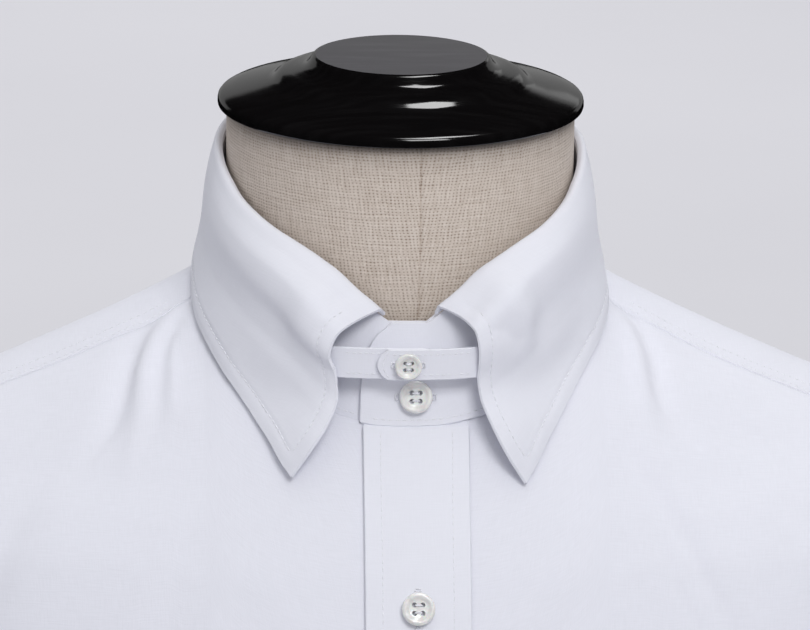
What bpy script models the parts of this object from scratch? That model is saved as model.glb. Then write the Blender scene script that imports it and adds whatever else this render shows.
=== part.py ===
"""A white dress shirt with a button tab collar, worn by a limbless tabletop dress form.

Frame: +Z up, the floor at z = 0, the shirt's front faces -Y, +X is the wearer's left.
The origin is the middle of the stand's underside. Tables and helpers work in millimetres
in the collar frame: its origin is the centre of the neck cap's rim, and "drop" is the
distance below that rim. A piece becomes metres only where its mesh is made.
"""

import math

import bmesh
import bpy
import numpy as np

MM = 0.001

# The dress form
CAP_RIM_HEIGHT = 940.0
NECK_RADIUS = 59.0
FORM_BOTTOM_DROP = 700.0
FORM_LOWERED = 1.6
FORM_INSET_SIDE = [(140.0, 1.0), (225.0, 7.0)]
FORM_INSET_FRONT = 4.5
FORM_SIDES = 32
FORM_NECK_DROPS = [2.1, 20.0, 40.0, 50.0, 56.0]
FORM_BODY_DROPS = [
    61.0, 66.5, 73.0, 82.0, 92.0, 103.0, 114.0, 126.0, 133.0, 142.0, 160.0,
    185.0, 215.0, 260.0, 330.0, 420.0, 520.0, 620.0, 690.0,
]
FORM_END_NARROWED = (0.93, 0.90, 1.0)
POLE_RADIUS = 12.5
POLE_FLANGE_RADIUS = 30.0
POLE_FLANGE_HEIGHT = 4.0
POLE_FOOT_RADIUS = 20.0
POLE_FOOT_HEIGHT = 8.0
BASE_RADIUS = 150.0
BASE_THICKNESS = 20.0

# Round base, a turned shape: radius, height over the floor
BASE_PROFILE = [
    (0.0, BASE_THICKNESS),
    (82.5, BASE_THICKNESS),
    (143.0, 12.4),
    (BASE_RADIUS, 7.0),
    (BASE_RADIUS, 2.0),
    (BASE_RADIUS - 2.0, 0.0),
    (0.0, 0.0),
]

# The cloth
WALL = 1.2
COLLAR_WALL = 1.6
TAB_WALL = 1.0
SEAM_GAP = 0.3
EDGE_GAP = SEAM_GAP / 2 + 0.03
LAYER_GAP = 0.4

# Rows and columns of the body's panels
NECK_COLUMNS = 8
ARMHOLE_ROWS_FRONT = 12
ARMHOLE_ROWS_BACK = 8
ARMHOLE_ROWS_YOKE = 4
SIDE_ROWS = 8
BACK_COLUMNS = 9
COLUMN_SAMPLES = 500
ROWS_GATHER_UP = 2.2

# The closing edge. The wearer's left front laps over the right one.
PLACKET_LEFT_X = -14.5
PLACKET_RIGHT_X = 20.0
PLACKET_LOWERED = 2.6
UNDERLAP_X = 17.0
BUTTON_LINE_X = 2.5
FIRST_BUTTON_DROP = 146.0
BUTTON_PITCH = 84.0
FRONT_BUTTONS = 7

# Buttons: radius, thickness
SHIRT_BUTTON = (5.5, 2.6)
TAB_BUTTON = (4.5, 2.3)

# The shoulder's surface lies between these drops, and the fronts widen beyond this x
SHOULDER_DROPS = (43.5, 139.0)
WIDENS_FROM_X = 60.0

# Torso of the shirt: level sections, each a rounded box.
# drop, half_width, middle_y, front, back, roundness
TORSO = [
    (43.0, 34.0, 22.0, 40.0, 30.0, 2.00),
    (53.0, 52.0, 14.0, 58.0, 46.0, 1.90),
    (65.0, 73.0, 8.0, 66.0, 60.0, 1.75),
    (81.0, 107.0, 6.0, 74.0, 73.0, 1.60),
    (97.3, 144.0, 5.0, 82.0, 83.0, 1.65),
    (112.0, 178.0, 5.0, 90.0, 90.0, 1.75),
    (125.5, 206.0, 4.0, 97.0, 95.0, 1.90),
    (140.0, 219.0, 3.0, 104.0, 99.0, 2.05),
    (170.0, 222.0, 1.0, 114.0, 104.0, 2.15),
    (210.0, 214.0, 0.0, 121.0, 108.0, 2.20),
    (260.0, 200.0, 0.0, 124.0, 110.0, 2.25),
    (330.0, 186.0, 0.0, 121.0, 106.0, 2.30),
    (420.0, 176.0, 0.0, 116.0, 101.0, 2.30),
    (520.0, 176.0, 0.0, 117.0, 104.0, 2.25),
    (620.0, 186.0, 0.0, 120.0, 112.0, 2.20),
    (720.0, 196.0, 0.0, 123.0, 118.0, 2.20),
    (840.0, 203.0, 0.0, 127.0, 122.0, 2.20),
]

# Neckline seam, seen from above: angle from the centre front, distance from the neck's axis
NECKLINE = [
    (0.0, 74.5),
    (20.0, 73.9),
    (45.0, 71.5),
    (65.0, 69.0),
    (90.0, 66.5),
    (135.0, 62.0),
    (180.0, 60.0),
]
NECK_POINT_ANGLE = 80.0

# Front yoke seam between the neck point and the armhole, seen from above: x, y
YOKE_SEAM = [(90.0, -14.5), (114.0, -15.8), (138.0, -15.0), (175.0, -14.0)]
YOKE_SKEW = 2.0
YOKE_STATIONS = [74.0, 82.0, 90.0, 98.0, 107.0, 118.0, 132.0, 150.0, 170.0, 187.0, 199.0]
BACK_SEAM_DROP = 150.0

# Armhole, seen from the side
ARMHOLE_MIDDLE_DROP = 182.0
ARMHOLE_HALF_HEIGHT = 51.0
ARMHOLE_HALF_DEPTH = 60.0
SHOULDER_SEAM_Y = -17.0

# Hem: angle from the centre front, drop
HEM = [(0.0, 800.0), (45.0, 786.0), (90.0, 742.0), (135.0, 800.0), (180.0, 832.0)]
HEM_HALF_WIDTH = 200.0
HEM_HALF_DEPTH = 125.0

# Collar fold, its highest line: angle from the centre front, distance from the axis, drop
FOLD = [
    (6.0, 66.2, 57.5),
    (10.0, 66.3, 53.6),
    (14.0, 66.2, 50.0),
    (20.6, 65.8, 44.0),
    (28.0, 65.4, 38.4),
    (35.0, 65.0, 35.0),
    (42.0, 64.6, 32.4),
    (53.0, 63.8, 28.2),
    (62.0, 63.0, 25.0),
    (70.0, 62.4, 21.5),
    (90.0, 62.0, 15.0),
    (135.0, 62.0, 8.6),
    (180.0, 62.0, 7.0),
]
FOLD_RISE = 2.4
FOLD_IN = 1.2

# Lower edge of the leaf from its tip to the centre back: x, y, drop
LEAF_EDGE = [
    (38.5, -82.8, 108.6),
    (42.2, -78.8, 103.8),
    (45.4, -74.2, 98.9),
    (51.4, -66.4, 91.6),
    (57.3, -57.4, 84.6),
    (62.0, -48.2, 79.0),
    (66.4, -37.2, 72.9),
    (68.9, -27.8, 69.0),
    (70.2, -16.0, 65.0),
    (70.2, 0.0, 61.6),
    (68.6, 17.0, 59.2),
    (61.0, 38.0, 56.8),
    (43.0, 55.5, 55.6),
    (22.0, 65.0, 55.4),
    (0.0, 68.0, 55.4),
]
TIP_SKEW = 1.2
TIP_SKEW_FORWARD = 0.7
TIP_SKEW_REACH = 45.0

# Leading edge of the leaf: share of the way, y, then x and drop for each side
LEADING_EDGE = [
    (0.00, -64.6, 8.0, 59.6, 9.0, 59.4),
    (0.06, -67.4, 10.0, 54.9, 10.4, 53.8),
    (0.16, -73.0, 17.4, 56.8, 17.6, 56.0),
    (0.26, -78.6, 23.8, 59.8, 21.8, 59.4),
    (0.38, -79.2, 26.2, 66.6, 22.9, 66.4),
    (0.50, -78.4, 24.4, 73.6, 22.9, 74.0),
    (0.62, -79.8, 24.1, 80.6, 24.0, 81.0),
    (0.75, -82.4, 26.7, 88.0, 27.0, 88.6),
    (0.88, -84.0, 31.6, 96.4, 31.9, 98.8),
    (1.00, -82.8, 38.5, 107.4, 38.5, 109.8),
]
LEADING_REACH = 100.0
LEADING_FADE = 1.5
LEAF_RAISED = (1.7, 0.4)
LEAF_RAISED_ANGLES = [5.0, 25.0]
LEAF_COLUMNS = 50

# Fall of the leaf from the fold to its lower edge: share down, share out
FALL = [
    (0.00, 0.00),
    (0.08, 0.17),
    (0.22, 0.35),
    (0.39, 0.50),
    (0.54, 0.57),
    (0.68, 0.68),
    (0.82, 0.87),
    (1.00, 1.00),
]
FALL_SHARES = [0.0, 0.08, 0.20, 0.33, 0.47, 0.60, 0.73, 0.87, 1.0]

# Collar stand
STAND_LAP = 1.0
STAND_END_X = -15.5
STAND_UNDER_X = 20.0
STAND_ROUNDING = 10.0
STAND_RAISED = (0.95, 1.3)
STAND_RAISED_ANGLES = [0.0, 60.0]
STAND_TOP_RADIUS = 66.0
STAND_BOTTOM_RADIUS = 74.5
STAND_ROWS = 5
STAND_COLUMNS = 52
COLLAR_BUTTON_SHARE = 0.28

# How far the stand's wall lies out, so that its ends lap: angle from the centre front, reach
STAND_LAPS = [
    (-30.0, STAND_LAP),
    (20.0, STAND_LAP),
    (70.0, 0.0),
    (290.0, 0.0),
    (340.0, -STAND_LAP),
    (390.0, -STAND_LAP),
]

# Tabs that close in front of the stand, seen from above: x from the closing, y
TAB_PATH = [(-29.0, -72.8), (-25.0, -75.6), (-12.0, -77.8), (0.0, -78.4), (10.0, -78.2)]
TAB_TOP_DROP = 65.0
TAB_WIDTH = 10.0
TAB_CLOSING_X = -0.5
TAB_LIFT_X = [-27.0, -13.0]
TAB_END_ROUNDING = 3.2
TAB_END_FROM_X = 2.0
TAB_END_LENGTH = 8.0
TAB_ROWS = 4
TAB_COLUMNS = 10

# Folds pressed into the chest: start, middle and end as x and drop, half width, height
CHEST_FOLDS = [
    (-80.0, 73.0, -91.0, 88.5, -103.0, 111.0, 6.5, -2.2),
    (-82.0, 78.0, -86.0, 87.0, -91.0, 100.0, 5.0, 1.6),
    (74.0, 70.0, 83.0, 79.5, 89.0, 93.0, 6.5, -2.0),
    (77.0, 79.0, 82.0, 88.0, 84.0, 99.0, 6.0, 1.3),
    (76.0, 107.0, 92.0, 134.0, 103.0, 158.0, 9.0, -1.6),
    (-60.0, 112.0, -75.0, 140.0, -84.0, 175.0, 10.0, -1.2),
]

# Sleeve: outer and inner edge of each section, and how deep it is from front to back
# outer_x, outer_drop, inner_x, inner_drop, half_depth
SLEEVE = [
    (226.0, 137.0, 210.0, 239.0, 66.0),
    (241.0, 150.0, 209.5, 244.0, 71.0),
    (255.0, 174.0, 208.5, 251.0, 74.0),
    (264.0, 208.0, 207.0, 262.0, 76.0),
    (269.0, 262.0, 205.0, 290.0, 76.0),
    (269.0, 340.0, 205.0, 350.0, 72.0),
    (266.0, 430.0, 207.0, 430.0, 66.0),
    (262.0, 530.0, 210.0, 530.0, 59.0),
    (258.0, 620.0, 213.0, 620.0, 51.0),
    (255.0, 675.0, 215.0, 675.0, 45.0),
]
CUFF_MIDDLE_X = 235.0
CUFF_HALF_WIDTH = 20.0
CUFF_HALF_DEPTH = 45.0
CUFF_HEIGHT = 64.0
CUFF_LAP = 1.0
CUFF_START_TURN = -158.0
CUFF_STEP = 15.0
CUFF_COLUMNS = 26

# The cuff laps over itself: column, reach out of its middle line
CUFF_LAPS = [
    (0, CUFF_LAP),
    (2, CUFF_LAP),
    (7, 0.0),
    (18, 0.0),
    (23, -CUFF_LAP),
    (25, -CUFF_LAP),
]
SLEEVE_START = 1.0
UNDERARM_CLEARANCE = 1.7

# Neck cap, a turned shape: radius, height over the rim
CAP_PROFILE = [
    (0.0, 15.5),
    (29.2, 15.5),
    (30.2, 14.7),
    (31.5, 12.2),
    (33.3, 10.9),
    (41.0, 9.6),
    (43.0, 7.9),
    (44.4, 6.8),
    (55.0, 5.0),
    (60.2, 3.4),
    (62.0, 0.9),
    (61.6, -0.9),
    (60.2, -1.8),
    (0.0, -1.8),
]
CAP_SIDES = 40
POLE_SIDES = 24
BASE_SIDES = 48
BUTTON_SIDES = 12

WHITE_COTTON = ("white_cotton", (0.83, 0.84, 0.87), 0.85, 0.0)
SHIRT_BUTTON_PLASTIC = ("button_plastic", (0.86, 0.86, 0.84), 0.30, 0.0)
LINEN = ("form_linen", (0.56, 0.51, 0.43), 0.90, 0.0)
BLACK_LACQUER = ("black_lacquer", (0.012, 0.011, 0.011), 0.18, 0.0)
BLACK_METAL = ("black_metal", (0.02, 0.02, 0.02), 0.35, 1.0)


# Curves through tables

def through(table, at):
    """A smooth curve through a table's rows that never overshoots them."""
    rows = np.asarray(table, float)
    station, value = rows[:, 0], rows[:, 1:]
    step = np.diff(station)
    slope = np.diff(value, axis=0) / step[:, None]
    tangent = np.empty_like(value)
    tangent[0], tangent[-1] = slope[0], slope[-1]
    before, after = slope[:-1], slope[1:]
    near = (2 * step[1:] + step[:-1])[:, None]
    far = (step[1:] + 2 * step[:-1])[:, None]
    same_way = before * after > 0
    safe_before = np.where(same_way, before, 1.0)
    safe_after = np.where(same_way, after, 1.0)
    mean = (near + far) / (near / safe_before + far / safe_after)
    tangent[1:-1] = np.where(same_way, mean, 0.0)
    at = np.clip(np.asarray(at, float), station[0], station[-1])
    i = np.clip(np.searchsorted(station, at) - 1, 0, len(step) - 1)
    t = ((at - station[i]) / step[i])[..., None]
    h = step[i][..., None]
    start = (2 * t**3 - 3 * t**2 + 1) * value[i] + (t**3 - 2 * t**2 + t) * h * tangent[i]
    end = (3 * t**2 - 2 * t**3) * value[i + 1] + (t**3 - t**2) * h * tangent[i + 1]
    return start + end


def around(table, angle):
    """Read a half-round table at any angle; the two halves mirror each other."""
    rows = [tuple(row) for row in table]
    behind = [(360.0 - row[0],) + row[1:] for row in rows[-3:-1][::-1]]
    before = [(-row[0],) + row[1:] for row in rows[1:3][::-1]] if rows[0][0] == 0 else []
    folded = np.abs((np.asarray(angle, float) + 180.0) % 360.0 - 180.0)
    return through(before + rows + behind, folded)


def along(points, shares):
    """Points at the given shares of a polyline's length."""
    points = np.asarray(points, float)
    lengths = np.linalg.norm(np.diff(points, axis=0), axis=1)
    run = np.concatenate([[0.0], np.cumsum(lengths)])
    at = np.asarray(shares, float) * run[-1]
    return np.stack([np.interp(at, run, points[:, k]) for k in range(points.shape[1])], -1)


def smooth_line(points, count=160):
    """A dense smooth line through a few points, by chord length."""
    points = np.asarray(points, float)
    run = np.concatenate([[0.0], np.cumsum(np.linalg.norm(np.diff(points, axis=0), axis=1))])
    table = np.column_stack([run, points])
    return through(table, np.linspace(0.0, run[-1], count))


def unit(vector):
    return vector / np.maximum(np.linalg.norm(vector, axis=-1, keepdims=True), 1e-9)


# The torso surface

def section(drop):
    """half_width, middle_y, front, back and roundness of the level section there."""
    return np.moveaxis(through(TORSO, drop), -1, 0)


def torso_level(point):
    """Below zero inside the torso, above zero outside it."""
    half_width, middle, front, back, roundness = section(-point[..., 2])
    y = point[..., 1] - middle
    depth = np.where(y < 0, front, back)
    return np.abs(point[..., 0] / half_width) ** roundness + np.abs(y / depth) ** roundness - 1


def torso_slope(point, step=0.05):
    """Gradient of the level."""
    slopes = []
    for axis in range(3):
        nudge = np.zeros(3)
        nudge[axis] = step
        slopes.append((torso_level(point + nudge) - torso_level(point - nudge)) / (2 * step))
    return np.stack(slopes, -1)


def torso_normal(point):
    return unit(torso_slope(point))


def onto_torso(point, rounds=8):
    """Move points along the slope until they lie on the torso."""
    point = np.array(point, float)
    for _ in range(rounds):
        slope = torso_slope(point)
        square = np.maximum((slope**2).sum(-1), 1e-9)
        move = torso_level(point) / square
        point = point - 0.9 * move[..., None] * slope
    return point


def front_y(x, drop):
    """y of the torso's front surface at a given x and drop."""
    half_width, middle, front, _, roundness = section(drop)
    share = np.clip(1 - np.abs(x / half_width) ** roundness, 0.0, 1.0)
    return middle - front * share ** (1 / roundness)


def back_y(x, drop):
    """y of the torso's back surface at a given x and drop."""
    half_width, middle, _, back, roundness = section(drop)
    share = np.clip(1 - np.abs(x / half_width) ** roundness, 0.0, 1.0)
    return middle + back * share ** (1 / roundness)


def drop_under(x, y):
    """Drop of the shoulder surface under a point of the plan."""
    x = np.asarray(x, float)
    y = np.asarray(y, float)
    high = np.full(np.broadcast(x, y).shape, SHOULDER_DROPS[0])
    low = np.full_like(high, SHOULDER_DROPS[1])
    for _ in range(40):
        middle = (high + low) / 2
        inside = torso_level(np.stack([x + 0 * middle, y + 0 * middle, -middle], -1)) < 0
        low = np.where(inside, middle, low)
        high = np.where(inside, high, middle)
    return (high + low) / 2


def on_shoulder(x, y):
    drop = drop_under(x, y)
    return np.stack([x + 0 * drop, y + 0 * drop, -drop], -1)


def fold_line(row):
    """The three points of a chest fold, put on the torso's front."""
    stations = np.array(row[:6]).reshape(3, 2)
    points = [(x, front_y(x, drop), -drop) for x, drop in stations]
    return smooth_line(points, 12)


def fold_height(points):
    """How far the chest folds move each point out of the torso."""
    points = np.asarray(points, float)
    height = np.zeros(points.shape[:-1])
    for row in CHEST_FOLDS:
        line = fold_line(row)
        half_width, rise = row[6], row[7]
        shares = np.linspace(0.0, 1.0, len(line))
        apart = np.linalg.norm(points[..., None, :] - line, axis=-1)
        nearest = apart.argmin(-1)
        fade = np.sin(np.pi * (0.12 + 0.76 * shares[nearest])) ** 0.8
        height = height + rise * fade * np.exp(-((apart.min(-1) / half_width) ** 2))
    return height


def folded(points, lift=0.0):
    """Cloth points on the torso: the folds and any lift go out along its normal."""
    normal = torso_normal(points)
    return points + normal * (fold_height(points) + lift)[..., None], normal


# Seams of the body, in the collar frame

def neckline(angle):
    """Points of the neckline seam at the given angles from the centre front."""
    radius = around(NECKLINE, angle)[..., 0]
    turn = np.radians(angle)
    return on_shoulder(radius * np.sin(turn), -radius * np.cos(turn))


def neckline_angle(x):
    """Angle at which the front neckline crosses a given x."""
    angles = np.linspace(-60.0, 60.0, 481)
    return float(np.interp(x, neckline(angles)[:, 0], angles))


def armhole(turn):
    """Armhole of the wearer's left side: 0 at the top, 90 at the front, 180 underarm."""
    angle = np.radians(turn)
    y = -ARMHOLE_HALF_DEPTH * np.sin(angle)
    drop = ARMHOLE_MIDDLE_DROP - ARMHOLE_HALF_HEIGHT * np.cos(angle)
    half_width, middle, front, back, roundness = section(drop)
    depth = np.where(y < middle, front, back)
    share = np.clip(1 - np.abs((y - middle) / depth) ** roundness, 0.0, 1.0)
    return np.stack([half_width * share ** (1 / roundness), y, -drop], -1)


FRONT_TURN = math.degrees(math.asin(-SHOULDER_SEAM_Y / ARMHOLE_HALF_DEPTH))
BACK_TURN = -math.degrees(math.acos((ARMHOLE_MIDDLE_DROP - BACK_SEAM_DROP) / ARMHOLE_HALF_HEIGHT))
UNDERARM_DROP = ARMHOLE_MIDDLE_DROP + ARMHOLE_HALF_HEIGHT


def armhole_front():
    return armhole(np.linspace(FRONT_TURN, 180.0, ARMHOLE_ROWS_FRONT + 1))


def armhole_back():
    return armhole(np.linspace(BACK_TURN, -180.0, ARMHOLE_ROWS_BACK + 1))


def armhole_yoke():
    return armhole(np.linspace(FRONT_TURN, BACK_TURN, ARMHOLE_ROWS_YOKE + 1))


def yoke_seam(side):
    """Front seam of the yoke from the neck point to the armhole, drawn on the left side.

    The seam of the left side (side = 1) lies a little further forward than the right one.
    """
    start = neckline(NECK_POINT_ANGLE)
    end = armhole(FRONT_TURN)
    plan = [(start[0], start[1])] + YOKE_SEAM + [(end[0], end[1])]
    share = (np.array(YOKE_STATIONS) - start[0]) / (end[0] - start[0])
    y = through(plan, YOKE_STATIONS)[:, 0] - side * YOKE_SKEW * np.sin(np.pi * share)
    middle = on_shoulder(np.array(YOKE_STATIONS), y)
    return np.vstack([start, middle, end])


def hem_drop(point):
    """Drop of the hem beside a point of the body."""
    across, forward = abs(point[0]) / HEM_HALF_WIDTH, -point[1] / HEM_HALF_DEPTH
    angle = math.degrees(math.atan2(across, forward))
    return float(around(HEM, angle)[..., 0])


def side_width(drop, edge_turns, narrow_from):
    """Half width of a panel's outer edge: the armhole, and below it the side seam."""
    edge = armhole(edge_turns)
    order = np.argsort(-edge[:, 2])
    armhole_width = np.interp(drop, -edge[order, 2], edge[order, 0])
    return np.where(drop < narrow_from, armhole_width, section(drop)[0])


def body_column(x_start, start, share, turns, surface_y, end_width):
    """Points down one column of a body panel, from its top edge to the hem.

    share is 0 for a column that hangs straight and 1 for the panel's outer edge.
    """
    top = -start[2]
    hem = hem_drop((x_start, surface_y(x_start, 400.0)))
    spread = np.linspace(0.0, 1.0, COLUMN_SAMPLES) ** ROWS_GATHER_UP
    drops = top + (hem - top) * spread
    width = side_width(drops, turns, UNDERARM_DROP)
    x = x_start + share * (width - end_width)
    return np.stack([x, surface_y(x, drops), -drops], -1)


def split_rows(line, rows_above, rows_below):
    """Rows down a column: even steps to the underarm level, even steps below it."""
    drops = -line[:, 2]
    cut = int(np.searchsorted(drops, UNDERARM_DROP))
    level = line[cut]
    above = along(np.vstack([line[:cut], level]), np.linspace(0, 1, rows_above + 1))
    below = along(line[cut:], np.linspace(0, 1, rows_below + 1))
    return np.vstack([above, below[1:]])


def side_seam():
    """Side seam below the armhole."""
    hem = float(around(HEM, 90.0)[..., 0])
    drops = np.linspace(UNDERARM_DROP, hem, SIDE_ROWS + 1)
    width, middle = section(drops)[:2]
    return np.stack([width, middle, -drops], -1)


def mirrored(points, side):
    return np.asarray(points) * np.array([side, 1.0, 1.0])


def shrink_edges(grid, gap=EDGE_GAP):
    """Pull a panel's four edges in by half a seam gap."""
    inner = grid.copy()
    inner[0] = grid[0] + gap * unit(grid[1] - grid[0])
    inner[-1] = grid[-1] + gap * unit(grid[-2] - grid[-1])
    inner[:, 0] = inner[:, 0] + gap * unit(grid[:, 1] - grid[:, 0])
    inner[:, -1] = inner[:, -1] + gap * unit(grid[:, -2] - grid[:, -1])
    return inner


# Meshes

def to_metres(points):
    points = np.asarray(points, float)
    return (points + np.array([0.0, 0.0, CAP_RIM_HEIGHT])) * MM


def material(look):
    name, colour, roughness, metallic = look
    made = bpy.data.materials.get(name)
    if made:
        return made
    made = bpy.data.materials.new(name)
    made.use_nodes = True
    shader = made.node_tree.nodes["Principled BSDF"]
    shader.inputs["Base Color"].default_value = (*colour, 1.0)
    shader.inputs["Roughness"].default_value = roughness
    shader.inputs["Metallic"].default_value = metallic
    return made


def solid(name, points, faces, look, sharp=35.0):
    """An object from points in metres and faces, with its faces pointing out."""
    mesh = bpy.data.meshes.new(name)
    mesh.from_pydata([tuple(p) for p in points], [], faces)
    shape = bmesh.new()
    shape.from_mesh(mesh)
    bmesh.ops.recalc_face_normals(shape, faces=shape.faces)
    bmesh.ops.triangulate(shape, faces=shape.faces)
    shape.to_mesh(mesh)
    shape.free()
    mesh.shade_smooth()
    mesh.set_sharp_from_angle(angle=math.radians(sharp))
    mesh.materials.append(material(look))
    made = bpy.data.objects.new(name, mesh)
    bpy.context.scene.collection.objects.link(made)
    return made


def wall(name, grid, normal, thickness, look, closed=False):
    """A cloth wall: a grid of points with half the thickness on either side.

    Rows run down, columns run across. A closed wall joins its last column to its first.
    """
    rows, columns = grid.shape[:2]
    outer = grid + normal * thickness / 2
    inner = grid - normal * thickness / 2
    points = to_metres(np.concatenate([outer.reshape(-1, 3), inner.reshape(-1, 3)]))
    inside = rows * columns
    faces = []
    last = columns if closed else columns - 1
    for j in range(rows - 1):
        for i in range(last):
            k = (i + 1) % columns
            a, b = j * columns + i, j * columns + k
            c, d = b + columns, a + columns
            faces.append((a, b, c, d))
            faces.append((inside + d, inside + c, inside + b, inside + a))
    rim = [[(0, i), (0, (i + 1) % columns)] for i in range(last)]
    rim += [[(rows - 1, (i + 1) % columns), (rows - 1, i)] for i in range(last)]
    if not closed:
        rim += [[(j + 1, 0), (j, 0)] for j in range(rows - 1)]
        rim += [[(j, columns - 1), (j + 1, columns - 1)] for j in range(rows - 1)]
    for (j0, i0), (j1, i1) in rim:
        a, b = j0 * columns + i0, j1 * columns + i1
        faces.append((b, a, inside + a, inside + b))
    return solid(name, points, faces, look)


def grid_normal(grid, outward):
    """Normals of a free wall, worked out from its own points and turned to one side."""
    down = np.gradient(grid, axis=0)
    across = np.gradient(grid, axis=1)
    normal = unit(np.cross(across, down))
    flip = np.sign((normal * outward).sum(-1, keepdims=True).mean())
    return normal * flip


def turned(name, profile, sides, look, centre=(0.0, 0.0, 0.0), axis=(0.0, 0.0, 1.0)):
    """A shape turned on an axis; the profile is radius and height, top to bottom."""
    axis = unit(np.array(axis, float))
    across = unit(np.cross(axis, (0.0, 1.0, 0.0) if abs(axis[1]) < 0.9 else (1.0, 0.0, 0.0)))
    third = np.cross(axis, across)
    turns = np.linspace(0.0, 2 * math.pi, sides, endpoint=False)
    points, rings = [], []
    for radius, height in profile:
        middle = np.array(centre, float) + axis * height
        if radius == 0:
            rings.append([len(points)])
            points.append(middle)
            continue
        rings.append(list(range(len(points), len(points) + sides)))
        for turn in turns:
            points.append(middle + radius * (math.cos(turn) * across + math.sin(turn) * third))
    faces = []
    for upper, lower in zip(rings, rings[1:]):
        for i in range(sides):
            k = (i + 1) % sides
            corners = [upper[i % len(upper)], upper[k % len(upper)]]
            corners += [lower[k % len(lower)], lower[i % len(lower)]]
            faces.append(tuple(dict.fromkeys(corners)))
    return solid(name, to_metres(points), faces, look)


def shirt_button(name, seat, axis, size):
    """A round button with a raised rim, standing on its seat."""
    radius, thickness = size
    profile = [
        (0.0, thickness * 0.70),
        (radius * 0.62, thickness * 0.70),
        (radius * 0.80, thickness),
        (radius, thickness * 0.65),
        (radius * 0.86, 0.0),
        (0.0, 0.0),
    ]
    return turned(name, profile, BUTTON_SIDES, SHIRT_BUTTON_PLASTIC, seat, axis)


# The body of the shirt

def front_grid(side, edge_x):
    """Grid of one front; side is +1 for the wearer's left.

    Both fronts are drawn on the left side and the right one is mirrored, so an edge_x
    below zero laps over the centre.
    """
    turns = np.linspace(FRONT_TURN, 180.0, 90)
    first = neckline_angle(edge_x)
    angles = np.linspace(first, NECK_POINT_ANGLE, NECK_COLUMNS)
    top = np.vstack([neckline(angles)[:-1], yoke_seam(side)])
    end_width = top[-1, 0]
    columns = []
    for point in top[:-1]:
        beyond = (point[0] - WIDENS_FROM_X) / (end_width - WIDENS_FROM_X)
        share = np.clip(beyond, 0.0, 1.0) ** 2
        line = body_column(point[0], point, share, turns, front_y, end_width)
        line[0] = point
        columns.append(split_rows(line, ARMHOLE_ROWS_FRONT, SIDE_ROWS))
    columns.append(np.vstack([armhole_front(), side_seam()[1:]]))
    return mirrored(np.stack(columns, axis=1), side)


def back_grid():
    """Grid of the back, from the wearer's right armhole to the left one."""
    turns = np.linspace(BACK_TURN, -180.0, 90)
    end = armhole(BACK_TURN)
    half = []
    stations = end[0] * np.sin(np.linspace(0.0, math.pi / 2, BACK_COLUMNS))
    for x in stations[:-1]:
        point = np.array([x, back_y(x, BACK_SEAM_DROP), -BACK_SEAM_DROP])
        line = body_column(x, point, (x / end[0]) ** 2, turns, back_y, end[0])
        half.append(split_rows(line, ARMHOLE_ROWS_BACK, SIDE_ROWS))
    half.append(np.vstack([armhole_back(), side_seam()[1:]]))
    left = np.stack(half, axis=1)
    return np.concatenate([mirrored(left[:, :0:-1], -1), left], axis=1)


def yoke_grid():
    """Grid of the yoke: rows out from the neckline, columns from right to left."""
    seam, right_seam = yoke_seam(1), yoke_seam(-1)
    back = back_grid()[0]
    edge = armhole_yoke()
    outer = np.vstack([mirrored(edge[:-1], -1), back, edge[::-1][1:]])
    run = np.linspace(-NECK_POINT_ANGLE, -360.0 + NECK_POINT_ANGLE, len(outer))
    inner = neckline(run)
    share = np.linspace(0.0, 1.0, len(outer))[None, :, None]
    lengths = np.linalg.norm(seam - seam[0], axis=1)
    out = (lengths / lengths[-1])[:, None, None]
    ruled = (1 - out) * inner[None] + out * outer[None]
    start = mirrored(right_seam, -1)[:, None]
    end = seam[:, None]
    corner_start = (1 - out) * inner[0] + out * outer[0]
    corner_end = (1 - out) * inner[-1] + out * outer[-1]
    patch = ruled + (1 - share) * (start - corner_start) + share * (end - corner_end)
    patch[1:-1, 1:-1] = onto_torso(patch[1:-1, 1:-1])
    return patch


def make_body():
    for name, side, edge_x in (("front_right", -1, -UNDERLAP_X), ("front_left", 1, PLACKET_RIGHT_X)):
        grid, normal = folded(shrink_edges(front_grid(side, edge_x)))
        wall(name, grid, normal, WALL, WHITE_COTTON)
    grid, normal = folded(shrink_edges(back_grid()))
    wall("back", grid, normal, WALL, WHITE_COTTON)
    grid, normal = folded(shrink_edges(yoke_grid()))
    wall("yoke", grid, normal, WALL, WHITE_COTTON)


def placket_grid(lift):
    """The placket follows the fronts' rows and lies on them."""
    rows = front_grid(1, PLACKET_RIGHT_X)[:, 0]
    xs = np.linspace(PLACKET_LEFT_X, PLACKET_RIGHT_X - SEAM_GAP, 4)
    drops = -rows[:, 2]
    drops[0] = drops[0] + PLACKET_LOWERED
    drops[-1] = drops[-1] - SEAM_GAP
    x, drop = np.meshgrid(xs, drops)
    base = np.stack([x, front_y(x, drop), -drop], -1)
    return folded(base, lift)


def make_placket():
    lift = WALL + LAYER_GAP
    grid, normal = placket_grid(lift)
    wall("placket", grid, normal, WALL, WHITE_COTTON)
    line = grid[:, 1:3].mean(1)
    for i in range(FRONT_BUTTONS):
        drop = FIRST_BUTTON_DROP + i * BUTTON_PITCH
        y = np.interp(drop, -line[:, 2], line[:, 1])
        spot = np.array([BUTTON_LINE_X, y, -drop])
        axis = torso_normal(spot)
        seat = spot + axis * (WALL / 2 + LAYER_GAP)
        shirt_button(f"front_button_{i + 1}", seat, axis, SHIRT_BUTTON)


# Sleeves and cuffs

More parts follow.
